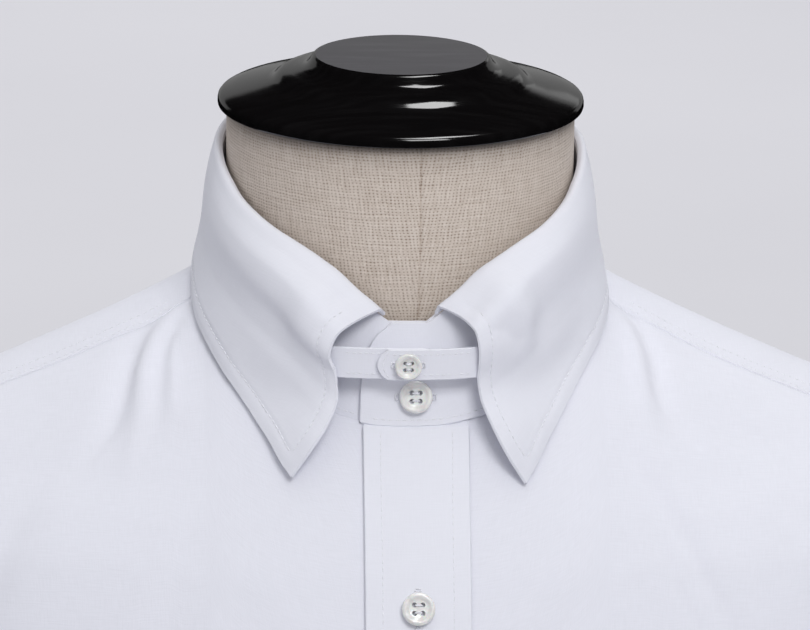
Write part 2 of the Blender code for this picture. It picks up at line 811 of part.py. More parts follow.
def sleeve_rings():
    """Rings of the wearer's left sleeve from the armhole down to the cuff."""
    front = armhole_front()
    back = armhole_back()[::-1]
    yoke = armhole_yoke()[::-1]
    loop = np.vstack([yoke[:-1], front[:-1], back[:-1]])
    centre = loop.mean(0)
    turn = np.arctan2(-(loop[:, 1] - centre[1]) / ARMHOLE_HALF_DEPTH,
                      (loop[:, 2] - centre[2]) / ARMHOLE_HALF_HEIGHT)
    rings = []
    for outer_x, outer_drop, inner_x, inner_drop, half_depth in SLEEVE:
        outer = np.array([outer_x, 0.0, -outer_drop])
        inner = np.array([inner_x, 0.0, -inner_drop])
        reach = (outer - inner) / 2
        ring = (outer + inner) / 2 + np.cos(turn)[:, None] * reach
        ring[:, 1] = -half_depth * np.sin(turn)
        rings.append(ring)
    clear = UNDERARM_CLEARANCE * (0.5 - 0.5 * np.cos(turn)) ** 2
    first = loop + SLEEVE_START * unit(rings[0] - loop)
    first = first + torso_normal(loop) * clear[:, None]
    return np.stack([first] + rings)


def cuff_grid():
    """Grid of the left cuff: a band that laps over itself behind the outer side."""
    steps = np.arange(CUFF_COLUMNS)
    turns = np.radians(CUFF_START_TURN + CUFF_STEP * steps)
    lap = through(CUFF_LAPS, steps)[:, 0]
    top = -SLEEVE[-1][1] - SEAM_GAP
    rows = []
    for drop in (top, top - CUFF_HEIGHT / 2, top - CUFF_HEIGHT):
        x = CUFF_MIDDLE_X + (CUFF_HALF_WIDTH + lap) * np.cos(turns)
        y = -(CUFF_HALF_DEPTH + lap) * np.sin(turns)
        rows.append(np.stack([x, y, np.full_like(x, drop)], -1))
    grid = np.stack(rows)
    outward = grid - np.array([CUFF_MIDDLE_X, 0.0, 0.0])
    outward[..., 2] = 0.0
    outward[..., 0] *= (CUFF_HALF_DEPTH / CUFF_HALF_WIDTH) ** 2
    return grid, unit(outward)


def make_sleeves():
    rings = sleeve_rings()
    middle = rings.mean(1, keepdims=True)
    for name, side in (("right", -1), ("left", 1)):
        grid = mirrored(rings, side)
        wrapped = np.concatenate([grid[:, -1:], grid, grid[:, :1]], axis=1)
        normal = grid_normal(wrapped, wrapped - mirrored(middle, side))[:, 1:-1]
        wall(f"sleeve_{name}", grid, normal, WALL, WHITE_COTTON, closed=True)
        cuff, outward = cuff_grid()
        cuff, outward = mirrored(cuff, side), mirrored(outward, side)
        wall(f"cuff_{name}", cuff, outward, COLLAR_WALL, WHITE_COTTON)
        spot, axis = cuff[1, 1], outward[1, 1]
        seat = spot + axis * (COLLAR_WALL / 2 + LAYER_GAP)
        shirt_button(f"cuff_button_{name}", seat, axis, SHIRT_BUTTON)


# The collar

def stand_lap(angle):
    """How far the stand's wall lies out of its middle line, so that its ends lap."""
    return through(STAND_LAPS, angle)[..., 0]


def stand_top(angle):
    """Top edge of the stand, under the inner side of the fold."""
    radius, drop = np.moveaxis(around(FOLD, angle), -1, 0)
    turn = np.radians(angle)
    reach = radius - FOLD_IN + stand_lap(angle)
    return np.stack([reach * np.sin(turn), -reach * np.cos(turn), -drop - FOLD_RISE], -1)


def stand_bottom(angle):
    """Lower edge of the stand, just over the neckline seam."""
    seam = neckline(angle)
    from_front = np.abs((np.asarray(angle) + 180.0) % 360.0 - 180.0)
    raised = np.interp(from_front, STAND_RAISED_ANGLES, STAND_RAISED)
    turn = np.radians(angle)
    lap = stand_lap(angle)
    seam = seam.copy()
    seam[..., 0] += lap * np.sin(turn)
    seam[..., 1] -= lap * np.cos(turn)
    seam[..., 2] += raised
    return seam


def stand_grid():
    """Grid of the stand from the wearer's left end round to the right end below it."""
    shares = np.linspace(0.0, 1.0, STAND_ROWS)
    lines = []
    for share in shares:
        rounding = STAND_ROUNDING * (1 - share) ** 3
        start_x = STAND_END_X + rounding
        end_x = STAND_UNDER_X - rounding
        radius = STAND_TOP_RADIUS + share * (STAND_BOTTOM_RADIUS - STAND_TOP_RADIUS)
        first = math.degrees(math.asin(start_x / radius))
        last = 360.0 + math.degrees(math.asin(end_x / radius))
        angle = np.linspace(first, last, STAND_COLUMNS)
        top, bottom = stand_top(angle), stand_bottom(angle)
        lines.append(top + share * (bottom - top))
    return np.stack(lines)


def radial(grid):
    """Directions straight away from the neck's axis."""
    away = grid * np.array([1.0, 1.0, 0.0])
    return unit(away)


def leaf_edge_line():
    """Lower edge of the leaf from the right tip round the back to the left tip."""
    half = np.array([(x, y, -drop) for x, y, drop in LEAF_EDGE])
    reach = np.linalg.norm(half - half[0], axis=1)
    skew = TIP_SKEW * np.clip(1 - reach / TIP_SKEW_REACH, 0.0, 1.0) ** 2
    left, right = half.copy(), mirrored(half, -1)
    left[:, 2] -= skew
    left[:, 1] -= TIP_SKEW_FORWARD * skew
    right[:, 2] += skew
    right[:, 1] += TIP_SKEW_FORWARD * skew
    return smooth_line(np.vstack([right[:-1], left[::-1]]), 600)


def leading_edge(side, shares):
    """Leading edge of one leaf, from the stand's top to the tip."""
    share, y, right_x, right_drop, left_x, left_drop = np.array(LEADING_EDGE).T
    x = left_x if side > 0 else -right_x
    drop = left_drop if side > 0 else right_drop
    return through(np.column_stack([share, x, y, -drop]), shares)


def leaf_grid():
    """Grid of the leaf: rows from the stand over the fold to the lower edge."""
    start = math.degrees(math.atan2(LEADING_EDGE[0][2], -LEADING_EDGE[0][1]))
    end = math.degrees(math.atan2(LEADING_EDGE[0][4], -LEADING_EDGE[0][1]))
    angles = np.linspace(-start, -360.0 + end, LEAF_COLUMNS + 1)
    radius, drop = np.moveaxis(around(FOLD, angles), -1, 0)
    radius = radius + stand_lap(angles % 360.0)
    turn = np.radians(angles)
    crest = np.stack([radius * np.sin(turn), -radius * np.cos(turn), -drop], -1)
    inner = stand_top(angles % 360.0)
    from_front = np.abs((angles + 180.0) % 360.0 - 180.0)
    inner[:, 2] += np.interp(from_front, LEAF_RAISED_ANGLES, LEAF_RAISED)
    edge = along(leaf_edge_line(), np.linspace(0.0, 1.0, LEAF_COLUMNS + 1))
    rows = [inner]
    for down in FALL_SHARES:
        out = float(through(FALL, down)[0])
        point = crest + down * (edge - crest)
        point[:, :2] = crest[:, :2] + out * (edge - crest)[:, :2]
        rows.append(point)
    grid = np.stack(rows)
    run = np.concatenate([[0.0], np.cumsum(np.linalg.norm(np.diff(crest, axis=0), axis=1))])
    shares = np.array([row[0] for row in LEADING_EDGE])
    for side, distance, column in ((-1, run, 0), (1, run[-1] - run, -1)):
        fade = np.clip(1 - distance / LEADING_REACH, 0.0, 1.0) ** LEADING_FADE
        bend = leading_edge(side, shares) - grid[:, column]
        bend[0] = 0.0
        grid = grid + fade[None, :, None] * bend[:, None]
    return grid


def make_collar():
    grid = stand_grid()
    normal = grid_normal(grid, radial(grid))
    wall("collar_stand", grid, normal, COLLAR_WALL, WHITE_COTTON)
    angle = math.degrees(math.asin(BUTTON_LINE_X / STAND_BOTTOM_RADIUS))
    top, bottom = stand_top(angle), stand_bottom(angle)
    spot = bottom + COLLAR_BUTTON_SHARE * (top - bottom)
    rise = unit(top - bottom)
    axis = unit(np.cross(rise, (-1.0, 0.0, 0.0)))
    if axis[1] > 0:
        axis = -axis
    seat = spot + axis * (COLLAR_WALL / 2 + LAYER_GAP)
    shirt_button("collar_button", seat, axis, SHIRT_BUTTON)
    grid = leaf_grid()
    normal = grid_normal(grid, radial(grid))
    normal[0] = -radial(grid[0])
    wall("collar_leaf", grid, normal, COLLAR_WALL, WHITE_COTTON)


def tab_grid(side, lift):
    """Grid of one tab; its free end is rounded."""
    xs = np.linspace(TAB_PATH[0][0], TAB_PATH[-1][0], TAB_COLUMNS)
    at_end = np.clip((xs - TAB_END_FROM_X) / TAB_END_LENGTH, 0.0, 1.0)
    rows = []
    for share in np.linspace(0.0, 1.0, TAB_ROWS):
        across = 2 * share - 1
        pull = TAB_END_ROUNDING * across**2 * at_end
        x = xs - pull
        y = through(TAB_PATH, x)[:, 0]
        z = np.full_like(x, -TAB_TOP_DROP - share * TAB_WIDTH)
        on_top = np.interp(xs, TAB_LIFT_X, [0.0, lift])
        rows.append(np.stack([TAB_CLOSING_X - side * x, y - on_top, z], -1))
    return np.stack(rows)


def make_tabs():
    step = TAB_WALL + LAYER_GAP
    for name, side, lift in (("tab_left", 1, step), ("tab_right", -1, 0.0)):
        grid = tab_grid(side, lift)
        normal = grid_normal(grid, np.broadcast_to((0.0, -1.0, 0.0), grid.shape))
        wall(name, grid, normal, TAB_WALL, WHITE_COTTON)
    y = float(through(TAB_PATH, 0.0)[0]) - step - TAB_WALL / 2 - LAYER_GAP
    seat = (TAB_CLOSING_X, y, -TAB_TOP_DROP - TAB_WIDTH / 2)
    shirt_button("tab_button", seat, (0.0, -1.0, 0.0), TAB_BUTTON)


# The dress form

def form_rings():
    """Rings of the form: a round neck that grows into the shoulders and chest."""
    turns = np.linspace(0.0, 2 * math.pi, FORM_SIDES, endpoint=False)
    s, c = np.sin(turns), np.cos(turns)
    rings = []
    for drop in FORM_NECK_DROPS + FORM_BODY_DROPS:
        level = max(drop - FORM_LOWERED, TORSO[0][0])
        half_width, middle, front, back, roundness = section(level)
        half_width = max(NECK_RADIUS, half_width - float(through(FORM_INSET_SIDE, drop)[0]))
        reach_front = max(NECK_RADIUS, front - middle - FORM_INSET_FRONT)
        reach_back = max(NECK_RADIUS - 1.0, back + middle - FORM_INSET_FRONT)
        if drop in FORM_NECK_DROPS:
            half_width, reach_front, reach_back = NECK_RADIUS, NECK_RADIUS, NECK_RADIUS
            middle, roundness = 0.0, 2.0
        reach_front += middle
        reach_back -= middle
        x = half_width * np.sign(s) * np.abs(s) ** (2 / roundness)
        reach = np.where(c > 0, reach_front, reach_back)
        y = middle - reach * np.sign(c) * np.abs(c) ** (2 / roundness)
        rings.append(np.stack([x, y, np.full_like(x, -drop)], -1))
    last = rings[-1] * np.array(FORM_END_NARROWED)
    last[:, 2] = -FORM_BOTTOM_DROP
    return np.stack(rings + [last])


def make_form():
    rings = form_rings()
    count, sides = rings.shape[:2]
    points = to_metres(rings.reshape(-1, 3))
    faces = [tuple(range(sides)), tuple(range((count - 1) * sides, count * sides))]
    for j in range(count - 1):
        for i in range(sides):
            k = (i + 1) % sides
            faces.append((j * sides + i, j * sides + k, (j + 1) * sides + k, (j + 1) * sides + i))
    solid("form_body", points, faces, LINEN)
    turned("neck_cap", CAP_PROFILE, CAP_SIDES, BLACK_LACQUER)
    floor = -CAP_RIM_HEIGHT
    top = -FORM_BOTTOM_DROP - SEAM_GAP
    foot = floor + BASE_THICKNESS + SEAM_GAP
    pole = [
        (0.0, top),
        (POLE_FLANGE_RADIUS, top),
        (POLE_FLANGE_RADIUS, top - POLE_FLANGE_HEIGHT),
        (POLE_RADIUS, top - 2 * POLE_FLANGE_HEIGHT),
        (POLE_RADIUS, foot + POLE_FOOT_HEIGHT),
        (POLE_FOOT_RADIUS, foot),
        (0.0, foot),
    ]
    turned("stand_pole", pole, POLE_SIDES, BLACK_METAL)
    base = [(radius, floor + height) for radius, height in BASE_PROFILE]
    turned("stand_base", base, BASE_SIDES, BLACK_LACQUER)


def build():
    for old in list(bpy.data.objects):
        bpy.data.objects.remove(old, do_unlink=True)
    make_form()
    make_body()
    make_placket()
    make_sleeves()
    make_collar()
    make_tabs()


build()
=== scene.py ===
# %% [markdown]
# # A white shirt with a button tab collar, on a dress form
# This lesson dresses a imported model. The imported model gives the place and size of every piece
# of the shirt and of the form it is worn on. Each piece is made again here as the thin cloth,
# turned wood or linen that it really is, and it stands for the plain solid of the same name.
# The first cell loads the imported model and bakes each piece's place into its mesh.

# %% The frame
import math

import bpy
import numpy as np
from mathutils import Matrix, Vector


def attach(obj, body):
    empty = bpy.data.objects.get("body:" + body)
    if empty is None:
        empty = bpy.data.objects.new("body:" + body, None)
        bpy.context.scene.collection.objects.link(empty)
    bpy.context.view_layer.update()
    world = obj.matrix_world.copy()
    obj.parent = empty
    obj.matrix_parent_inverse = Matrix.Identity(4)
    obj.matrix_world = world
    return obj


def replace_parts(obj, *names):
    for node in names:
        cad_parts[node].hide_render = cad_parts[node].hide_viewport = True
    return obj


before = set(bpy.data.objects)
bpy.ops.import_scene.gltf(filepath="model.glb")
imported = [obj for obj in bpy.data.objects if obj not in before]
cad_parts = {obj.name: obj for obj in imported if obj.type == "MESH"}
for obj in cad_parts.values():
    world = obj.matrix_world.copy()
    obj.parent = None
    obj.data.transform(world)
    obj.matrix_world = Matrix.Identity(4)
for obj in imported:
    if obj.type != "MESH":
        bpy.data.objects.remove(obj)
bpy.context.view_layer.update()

# %% [markdown]
# ## The camera
# The picture was taken from a little above the collar with a long lens, so its lines hardly
# converge. A camera matrix from three directions keeps the very small roll of the picture,
# which an aim at one point would lose. The lens is long and the camera 1.8 m away, so that
# the collar doesn't look bent.

# %% The view of the picture
SEEN_FROM = (-0.091446, -1.744895, 1.372410)
VIEW_RIGHT = (0.99866686, -0.0498477, 0.01340586)
VIEW_UP = (0.00107777, 0.27978781, 0.96006126)
VIEW_AHEAD = (0.05160764, 0.95876691, -0.27946854)
SENSOR_WIDTH = 36.0
LENS = 236.0

camera = bpy.data.objects.new("collar_view", bpy.data.cameras.new("collar_view"))
bpy.context.scene.collection.objects.link(camera)
camera.data.sensor_width = SENSOR_WIDTH
camera.data.lens = LENS
axes = [VIEW_RIGHT, VIEW_UP, [-value for value in VIEW_AHEAD]]
camera.matrix_world = Matrix.Translation(SEEN_FROM) @ Matrix(axes).transposed().to_4x4()
bpy.context.scene.camera = camera
print("camera at", [round(value, 3) for value in camera.matrix_world.translation])

# %% [markdown]
# ## Curves through tables
# A tailor keeps a pattern as a few measured points and draws the line between them by eye. The
# tables below are such points, in millimetres. Splines could overshoot between two points and
# make a bulge that nobody measured, so this curve keeps within its points.
# Everything is measured in the collar frame: its origin is the centre of the neck cap's rim,
# and "drop" is the distance below that rim.

# %% Reading a table smoothly
MM = 0.001
CAP_RIM_HEIGHT = 940.0


def through(table, at):
    """A smooth curve through a table's rows that never overshoots them."""
    rows = np.asarray(table, float)
    station, value = rows[:, 0], rows[:, 1:]
    step = np.diff(station)
    slope = np.diff(value, axis=0) / step[:, None]
    tangent = np.empty_like(value)
    tangent[0], tangent[-1] = slope[0], slope[-1]
    before, after = slope[:-1], slope[1:]
    near = (2 * step[1:] + step[:-1])[:, None]
    far = (step[1:] + 2 * step[:-1])[:, None]
    same_way = before * after > 0
    steps = near / np.where(same_way, before, 1.0) + far / np.where(same_way, after, 1.0)
    tangent[1:-1] = np.where(same_way, (near + far) / steps, 0.0)
    at = np.clip(np.asarray(at, float), station[0], station[-1])
    i = np.clip(np.searchsorted(station, at) - 1, 0, len(step) - 1)
    t = ((at - station[i]) / step[i])[..., None]
    h = step[i][..., None]
    start = (2 * t**3 - 3 * t**2 + 1) * value[i] + (t**3 - 2 * t**2 + t) * h * tangent[i]
    end = (3 * t**2 - 2 * t**3) * value[i + 1] + (t**3 - t**2) * h * tangent[i + 1]
    return start + end


def half_turn(angle):
    """The same angle, between -180 and 180 degrees."""
    return (np.asarray(angle, float) + 180.0) % 360.0 - 180.0


def around(table, angle):
    """Read a half-round table at any angle; the two halves mirror each other."""
    rows = [tuple(row) for row in table]
    behind = [(360.0 - row[0],) + row[1:] for row in rows[-3:-1][::-1]]
    before = [(-row[0],) + row[1:] for row in rows[1:3][::-1]] if rows[0][0] == 0 else []
    return through(before + rows + behind, np.abs(half_turn(angle)))


def run_of(points):
    """Length from the first point of a line to each of its points."""
    steps = np.linalg.norm(np.diff(np.asarray(points, float)[:, :3], axis=0), axis=1)
    return np.concatenate([[0.0], np.cumsum(steps)])


def at_run(points, lengths):
    """The line's numbers at the given lengths from its first point."""
    run = run_of(points)
    return np.stack([np.interp(lengths, run, column) for column in points.T], -1)


def along(points, shares):
    """Points at the given shares of a line's length."""
    points = np.asarray(points, float)
    return at_run(points, np.asarray(shares, float) * run_of(points)[-1])


def smooth_line(points, count):
    """A dense smooth line through a few points."""
    points = np.asarray(points, float)
    run = run_of(points)
    return through(np.column_stack([run, points]), np.linspace(0.0, run[-1], count))


def unit(vector):
    return vector / np.maximum(np.linalg.norm(vector, axis=-1, keepdims=True), 1e-9)


def mirrored(points, side):
    return np.asarray(points) * np.array([side, 1.0, 1.0])


# %% [markdown]
# ## The body under the cloth
# The shirt takes the shape of the chest and shoulders that fill it. Each row of the table is
# one level section, a rounded box between a circle and a square, so a single formula tells
# whether a point is inside. The cloth pieces are then laid on that surface by moving their
# points along its slope, as cloth settles on a shoulder.

# %% Chest and shoulders
# drop, half_width, middle_y, front, back, roundness
TORSO = [
    (43.0, 34.0, 22.0, 40.0, 30.0, 2.00),
    (53.0, 52.0, 14.0, 58.0, 46.0, 1.90),
    (65.0, 73.0, 8.0, 66.0, 60.0, 1.75),
    (81.0, 107.0, 6.0, 74.0, 73.0, 1.60),
    (97.3, 144.0, 5.0, 82.0, 83.0, 1.65),
    (112.0, 178.0, 5.0, 90.0, 90.0, 1.75),
    (125.5, 206.0, 4.0, 97.0, 95.0, 1.90),
    (140.0, 219.0, 3.0, 104.0, 99.0, 2.05),
    (170.0, 222.0, 1.0, 114.0, 104.0, 2.15),
    (210.0, 214.0, 0.0, 121.0, 108.0, 2.20),
    (260.0, 200.0, 0.0, 124.0, 110.0, 2.25),
    (330.0, 186.0, 0.0, 121.0, 106.0, 2.30),
    (420.0, 176.0, 0.0, 116.0, 101.0, 2.30),
    (520.0, 176.0, 0.0, 117.0, 104.0, 2.25),
    (620.0, 186.0, 0.0, 120.0, 112.0, 2.20),
    (720.0, 196.0, 0.0, 123.0, 118.0, 2.20),
    (840.0, 203.0, 0.0, 127.0, 122.0, 2.20),
]
SHOULDER_DROPS = (43.5, 139.0)


def section(drop):
    """half_width, middle_y, front, back and roundness of the level section there."""
    return np.moveaxis(through(TORSO, drop), -1, 0)


def torso_level(point):
    """Below zero inside the torso, above zero outside it."""
    half_width, middle, front, back, roundness = section(-point[..., 2])
    y = point[..., 1] - middle
    depth = np.where(y < 0, front, back)
    return np.abs(point[..., 0] / half_width) ** roundness + np.abs(y / depth) ** roundness - 1


def torso_slope(point, step=0.05):
    slopes = []
    for axis in range(3):
        nudge = np.zeros(3)
        nudge[axis] = step
        slopes.append((torso_level(point + nudge) - torso_level(point - nudge)) / (2 * step))
    return np.stack(slopes, -1)


def torso_normal(point):
    return unit(torso_slope(point))


def onto_torso(point, rounds=8):
    """Move points along the slope until they lie on the torso."""
    point = np.array(point, float)
    for _ in range(rounds):
        slope = torso_slope(point)
        square = np.maximum((slope**2).sum(-1), 1e-9)
        point = point - 0.9 * (torso_level(point) / square)[..., None] * slope
    return point


def front_y(x, drop):
    half_width, middle, front, _, roundness = section(drop)
    share = np.clip(1 - np.abs(x / half_width) ** roundness, 0.0, 1.0)
    return middle - front * share ** (1 / roundness)


def back_y(x, drop):
    half_width, middle, _, back, roundness = section(drop)
    share = np.clip(1 - np.abs(x / half_width) ** roundness, 0.0, 1.0)
    return middle + back * share ** (1 / roundness)


def on_shoulder(x, y):
    """Points of the shoulder's surface under points of the plan."""
    x, y = np.asarray(x, float), np.asarray(y, float)
    high = np.full(np.broadcast(x, y).shape, SHOULDER_DROPS[0])
    low = np.full_like(high, SHOULDER_DROPS[1])
    for _ in range(40):
        middle = (high + low) / 2
        inside = torso_level(np.stack([x + 0 * middle, y + 0 * middle, -middle], -1)) < 0
        low, high = np.where(inside, middle, low), np.where(inside, high, middle)
    drop = (high + low) / 2
    return np.stack([x + 0 * drop, y + 0 * drop, -drop], -1)


# %% [markdown]
# ## Seam lines
# A shirt's shape comes from its seams: the neckline, the yoke seams that lie a little in front
# of the shoulder, the armholes and the hem. Each is a line on the torso, and the panels are
# later drawn between them, so two pieces that are sewn together share the same line.

# %% Neckline, yoke seam, armhole and hem
# angle from the centre front, distance from the neck's axis
NECKLINE = [(0.0, 74.5), (20.0, 73.9), (45.0, 71.5), (65.0, 69.0), (90.0, 66.5), (135.0, 62.0),
            (180.0, 60.0)]
NECK_POINT_ANGLE = 80.0
YOKE_SEAM = [(90.0, -14.5), (114.0, -15.8), (138.0, -15.0), (175.0, -14.0)]
YOKE_SKEW = 2.0
BACK_SEAM_DROP = 150.0
ARMHOLE_MIDDLE_DROP = 182.0
ARMHOLE_HALF_HEIGHT = 51.0
ARMHOLE_HALF_DEPTH = 60.0
SHOULDER_SEAM_Y = -17.0
FRONT_TURN = math.degrees(math.asin(-SHOULDER_SEAM_Y / ARMHOLE_HALF_DEPTH))
BACK_TURN = -math.degrees(math.acos((ARMHOLE_MIDDLE_DROP - BACK_SEAM_DROP) / ARMHOLE_HALF_HEIGHT))
UNDERARM_DROP = ARMHOLE_MIDDLE_DROP + ARMHOLE_HALF_HEIGHT
HEM = [(0.0, 800.0), (45.0, 786.0), (90.0, 742.0), (135.0, 800.0), (180.0, 832.0)]
HEM_HALF_WIDTH = 200.0
HEM_HALF_DEPTH = 125.0
YOKE_STATIONS = np.linspace(74.0, 199.0, 64)


def neckline(angle):
    radius = around(NECKLINE, angle)[..., 0]
    turn = np.radians(angle)
    return on_shoulder(radius * np.sin(turn), -radius * np.cos(turn))


def neckline_angle(x):
    angles = np.linspace(-60.0, 60.0, 481)
    return float(np.interp(x, neckline(angles)[:, 0], angles))


def armhole(turn):
    """Armhole of the wearer's left side: 0 at the top, 90 at the front, 180 underarm."""
    angle = np.radians(turn)
    y = -ARMHOLE_HALF_DEPTH * np.sin(angle)
    drop = ARMHOLE_MIDDLE_DROP - ARMHOLE_HALF_HEIGHT * np.cos(angle)
    half_width, middle, front, back, roundness = section(drop)
    depth = np.where(y < middle, front, back)
    share = np.clip(1 - np.abs((y - middle) / depth) ** roundness, 0.0, 1.0)
    return np.stack([half_width * share ** (1 / roundness), y, -drop], -1)


def yoke_seam(side):
    """Front seam of the yoke, drawn on the left side; the left one lies further forward."""
    start, end = neckline(NECK_POINT_ANGLE), armhole(FRONT_TURN)
    plan = [(start[0], start[1])] + YOKE_SEAM + [(end[0], end[1])]
    share = (YOKE_STATIONS - start[0]) / (end[0] - start[0])
    y = through(plan, YOKE_STATIONS)[:, 0] - side * YOKE_SKEW * np.sin(np.pi * share)
    return np.vstack([start, on_shoulder(YOKE_STATIONS, y), end])


def hem_drop(x, y):
    angle = math.degrees(math.atan2(abs(x) / HEM_HALF_WIDTH, -y / HEM_HALF_DEPTH))
    return float(around(HEM, angle)[..., 0])


print("neck seam", round(run_of(neckline(np.linspace(0, 360, 361)))[-1]), "mm round")

# %% [markdown]
# ## Creases
# Poplin that is pulled over a shoulder breaks into a few sharp troughs with a soft ridge beside
# each. Cloth simulation would find creases of its own, in other places than the real shirt has
# them, so each crease here is drawn one by one: a path over the chest, how wide it runs out on
# either side, and how far it sinks or rises. They differ in length, depth and spacing, and they
# fade out at their ends.

# %% Crease tables
# path as x and drop on the front; width on its left and right in the picture; rise
FRONT_CREASES = [
    ([(-78, 70.5), (-84.2, 74.3), (-88, 78), (-90.5, 82), (-92.5, 87.1), (-94.2, 93.1),
      (-96.7, 98.8), (-100, 103.7), (-105.7, 108.5), (-112, 112)], 6.0, 2.6, -2.2),
    ([(-76, 70), (-80.8, 74.3), (-85.2, 80.4), (-87.8, 86.4), (-88.7, 95.4), (-90.4, 102),
      (-93, 110)], 2.4, 4.0, 1.4),
    ([(-69, 66), (-72, 68), (-76.5, 73.6), (-79.6, 78.6), (-80.9, 82.3), (-81.6, 87.8), (-82, 96)],
      2.4, 2.2, -1.1),
    ([(-72, 70), (-75.5, 75.1), (-77.4, 80.1), (-77.7, 91), (-78, 99)], 1.8, 2.2, 0.6),
    ([(-68.5, 67), (-70.7, 69.2), (-72.8, 74.6), (-73.4, 79.9), (-73.6, 86), (-73.4, 92)],
      1.6, 1.6, -1.0),
    ([(-69, 72), (-70.2, 80), (-70, 90)], 1.8, 2.4, 0.5),
    ([(71, 67.5), (75.6, 70.1), (79, 72.2), (81.8, 75), (83.7, 78.4), (85.3, 82), (85.8, 87.4),
      (87.6, 93.7), (91, 99), (95, 103)], 2.6, 4.0, -1.9),
    ([(72, 70), (74.9, 72.9), (78.8, 78.2), (80.3, 85.5), (81.0, 91.7), (83, 101)], 3.4, 2.4, 1.1),
    ([(69, 66.5), (70.8, 68.7), (72.7, 72.5), (74.3, 76.6), (74.9, 80.3), (75, 87.9), (75.5, 96)],
      1.6, 2.0, -1.1),
    ([(72, 102), (76.4, 108.4), (82.4, 115.8), (87.1, 122.7), (92.4, 130.7), (96.5, 138.5),
      (103, 149.4), (109, 162), (114, 176)], 3.6, 4.6, -1.5),
    ([(80, 102), (88, 112), (95, 123), (101, 136), (108, 149)], 4.0, 7.0, 0.7),
    ([(77, 116), (81.9, 124.5), (86.4, 135), (90.2, 144.9), (94.4, 155.1), (97, 168)],
      3.4, 3.4, -0.8),
    ([(97, 98), (113.3, 104.6), (134.2, 110.6), (152, 118)], 8.0, 8.0, -0.9),
    ([(-60, 110), (-68, 126), (-77, 146), (-84, 172), (-88, 200)], 9.0, 9.0, -1.1),
    ([(-118, 112), (-128, 124), (-136, 142), (-141, 166)], 9.0, 6.0, -1.2),
    ([(150, 128), (156, 146), (158, 170), (154, 198)], 7.0, 9.0, -1.6),
    ([(-158, 132), (-162, 152), (-162, 178), (-156, 204)], 9.0, 7.0, -1.7),
    ([(-128, 250), (-110, 310), (-98, 390), (-96, 480)], 16.0, 14.0, -2.6),
    ([(-70, 300), (-62, 380), (-60, 470), (-66, 560)], 12.0, 14.0, -1.8),
    ([(124, 262), (106, 330), (96, 420), (99, 520)], 14.0, 16.0, -2.4),
    ([(62, 330), (56, 410), (58, 520)], 13.0, 12.0, -1.6),
    ([(-110, 560), (-104, 640), (-112, 740)], 16.0, 14.0, -2.2),
    ([(112, 590), (120, 670), (116, 745)], 15.0, 15.0, -2.0),
    ([(70, 610), (62, 700), (66, 780)], 13.0, 12.0, -1.5),
    ([(-56, 640), (-64, 720), (-60, 785)], 12.0, 12.0, -1.4),
]
BACK_CREASES = [
    ([(-120, 160), (-104, 230), (-92, 330), (-88, 440), (-94, 540)], 16.0, 13.0, -2.8),
    ([(-52, 175), (-46, 260), (-44, 370), (-50, 470)], 12.0, 14.0, -2.0),
    ([(8, 170), (4, 240), (0, 330)], 10.0, 10.0, -1.3),
    ([(58, 170), (50, 270), (46, 390), (52, 500)], 14.0, 12.0, -2.1),
    ([(124, 162), (108, 240), (94, 340), (90, 470), (98, 570)], 13.0, 16.0, -2.7),
    ([(-150, 190), (-150, 240), (-132, 300)], 9.0, 11.0, -1.8),
    ([(152, 186), (148, 246), (130, 312)], 11.0, 9.0, -1.8),
    ([(-70, 600), (-62, 700), (-68, 800)], 14.0, 14.0, -1.9),
    ([(12, 560), (16, 680), (10, 810)], 13.0, 15.0, -1.6),
    ([(86, 630), (80, 720), (88, 800)], 15.0, 13.0, -2.0),
]


def crease_lines(table, surface_y):
    lines = []
    for path, left, right, rise in table:
        points = [(x, float(surface_y(x, drop)), -drop) for x, drop in path]
        lines.append((smooth_line(points, 60), left, right, rise))
    return lines


CREASE_LINES = crease_lines(FRONT_CREASES, front_y) + crease_lines(BACK_CREASES, back_y)


def crease_height(points, normal, lines):
    """How far the creases move each point out of its panel."""
    height = np.zeros(points.shape[:-1])
    for line, left, right, rise in lines:
        reach = 3 * max(left, right)
        low, high = line.min(0) - reach, line.max(0) + reach
        near = ((points > low) & (points < high)).all(-1)
        if not near.any():
            continue
        spot, face = points[near], normal[near]
        away = spot[:, None, :] - line
        apart = np.linalg.norm(away, axis=-1)
        nearest = apart.argmin(-1)
        way = unit(np.gradient(line, axis=0))[nearest]
        offset = away[np.arange(len(spot)), nearest]
        beside = (np.cross(way, face) * offset).sum(-1)
        on_left = beside > 0 if line[-1, 1] < 0 else beside < 0
        width = np.where(on_left, left, right)
        share = nearest / (len(line) - 1)
        fade = np.sin(np.pi * (0.06 + 0.90 * share)) ** 0.7
        height[near] += rise * fade * np.exp(-((apart.min(-1) / width) ** 2))
    return height


def soft_ripple(points, size):
    """A slow unevenness that keeps wide cloth from looking like a sheet of metal."""
    x, y, z = np.moveaxis(points, -1, 0)
    wave = np.sin(x / 17.0 + 0.6 * np.sin(z / 31.0)) * np.sin(z / 23.0 + y / 19.0)
    return size * (wave + 0.5 * np.sin(x / 7.3 + z / 11.0 + np.sin(y / 9.0)))


def creased(points, lift=0.0):
    """Cloth points on the torso with their creases, and their directions out."""
    out = torso_normal(points)
    height = crease_height(points, out, CREASE_LINES) + soft_ripple(points, 0.07) + lift
    return points + out * np.asarray(height)[..., None], out


print(len(CREASE_LINES), "creases")

# %% [markdown]
# ## Finishes
# Each finish is a small node tree. The cloth ones read a map named "cut" that stores where a
# point lay on the flat cut piece, in millimetres, so threads run along the cut as they do in a
# real garment. The pattern could come from a picture, but made from waves and noise it stays
# sharp at any distance.

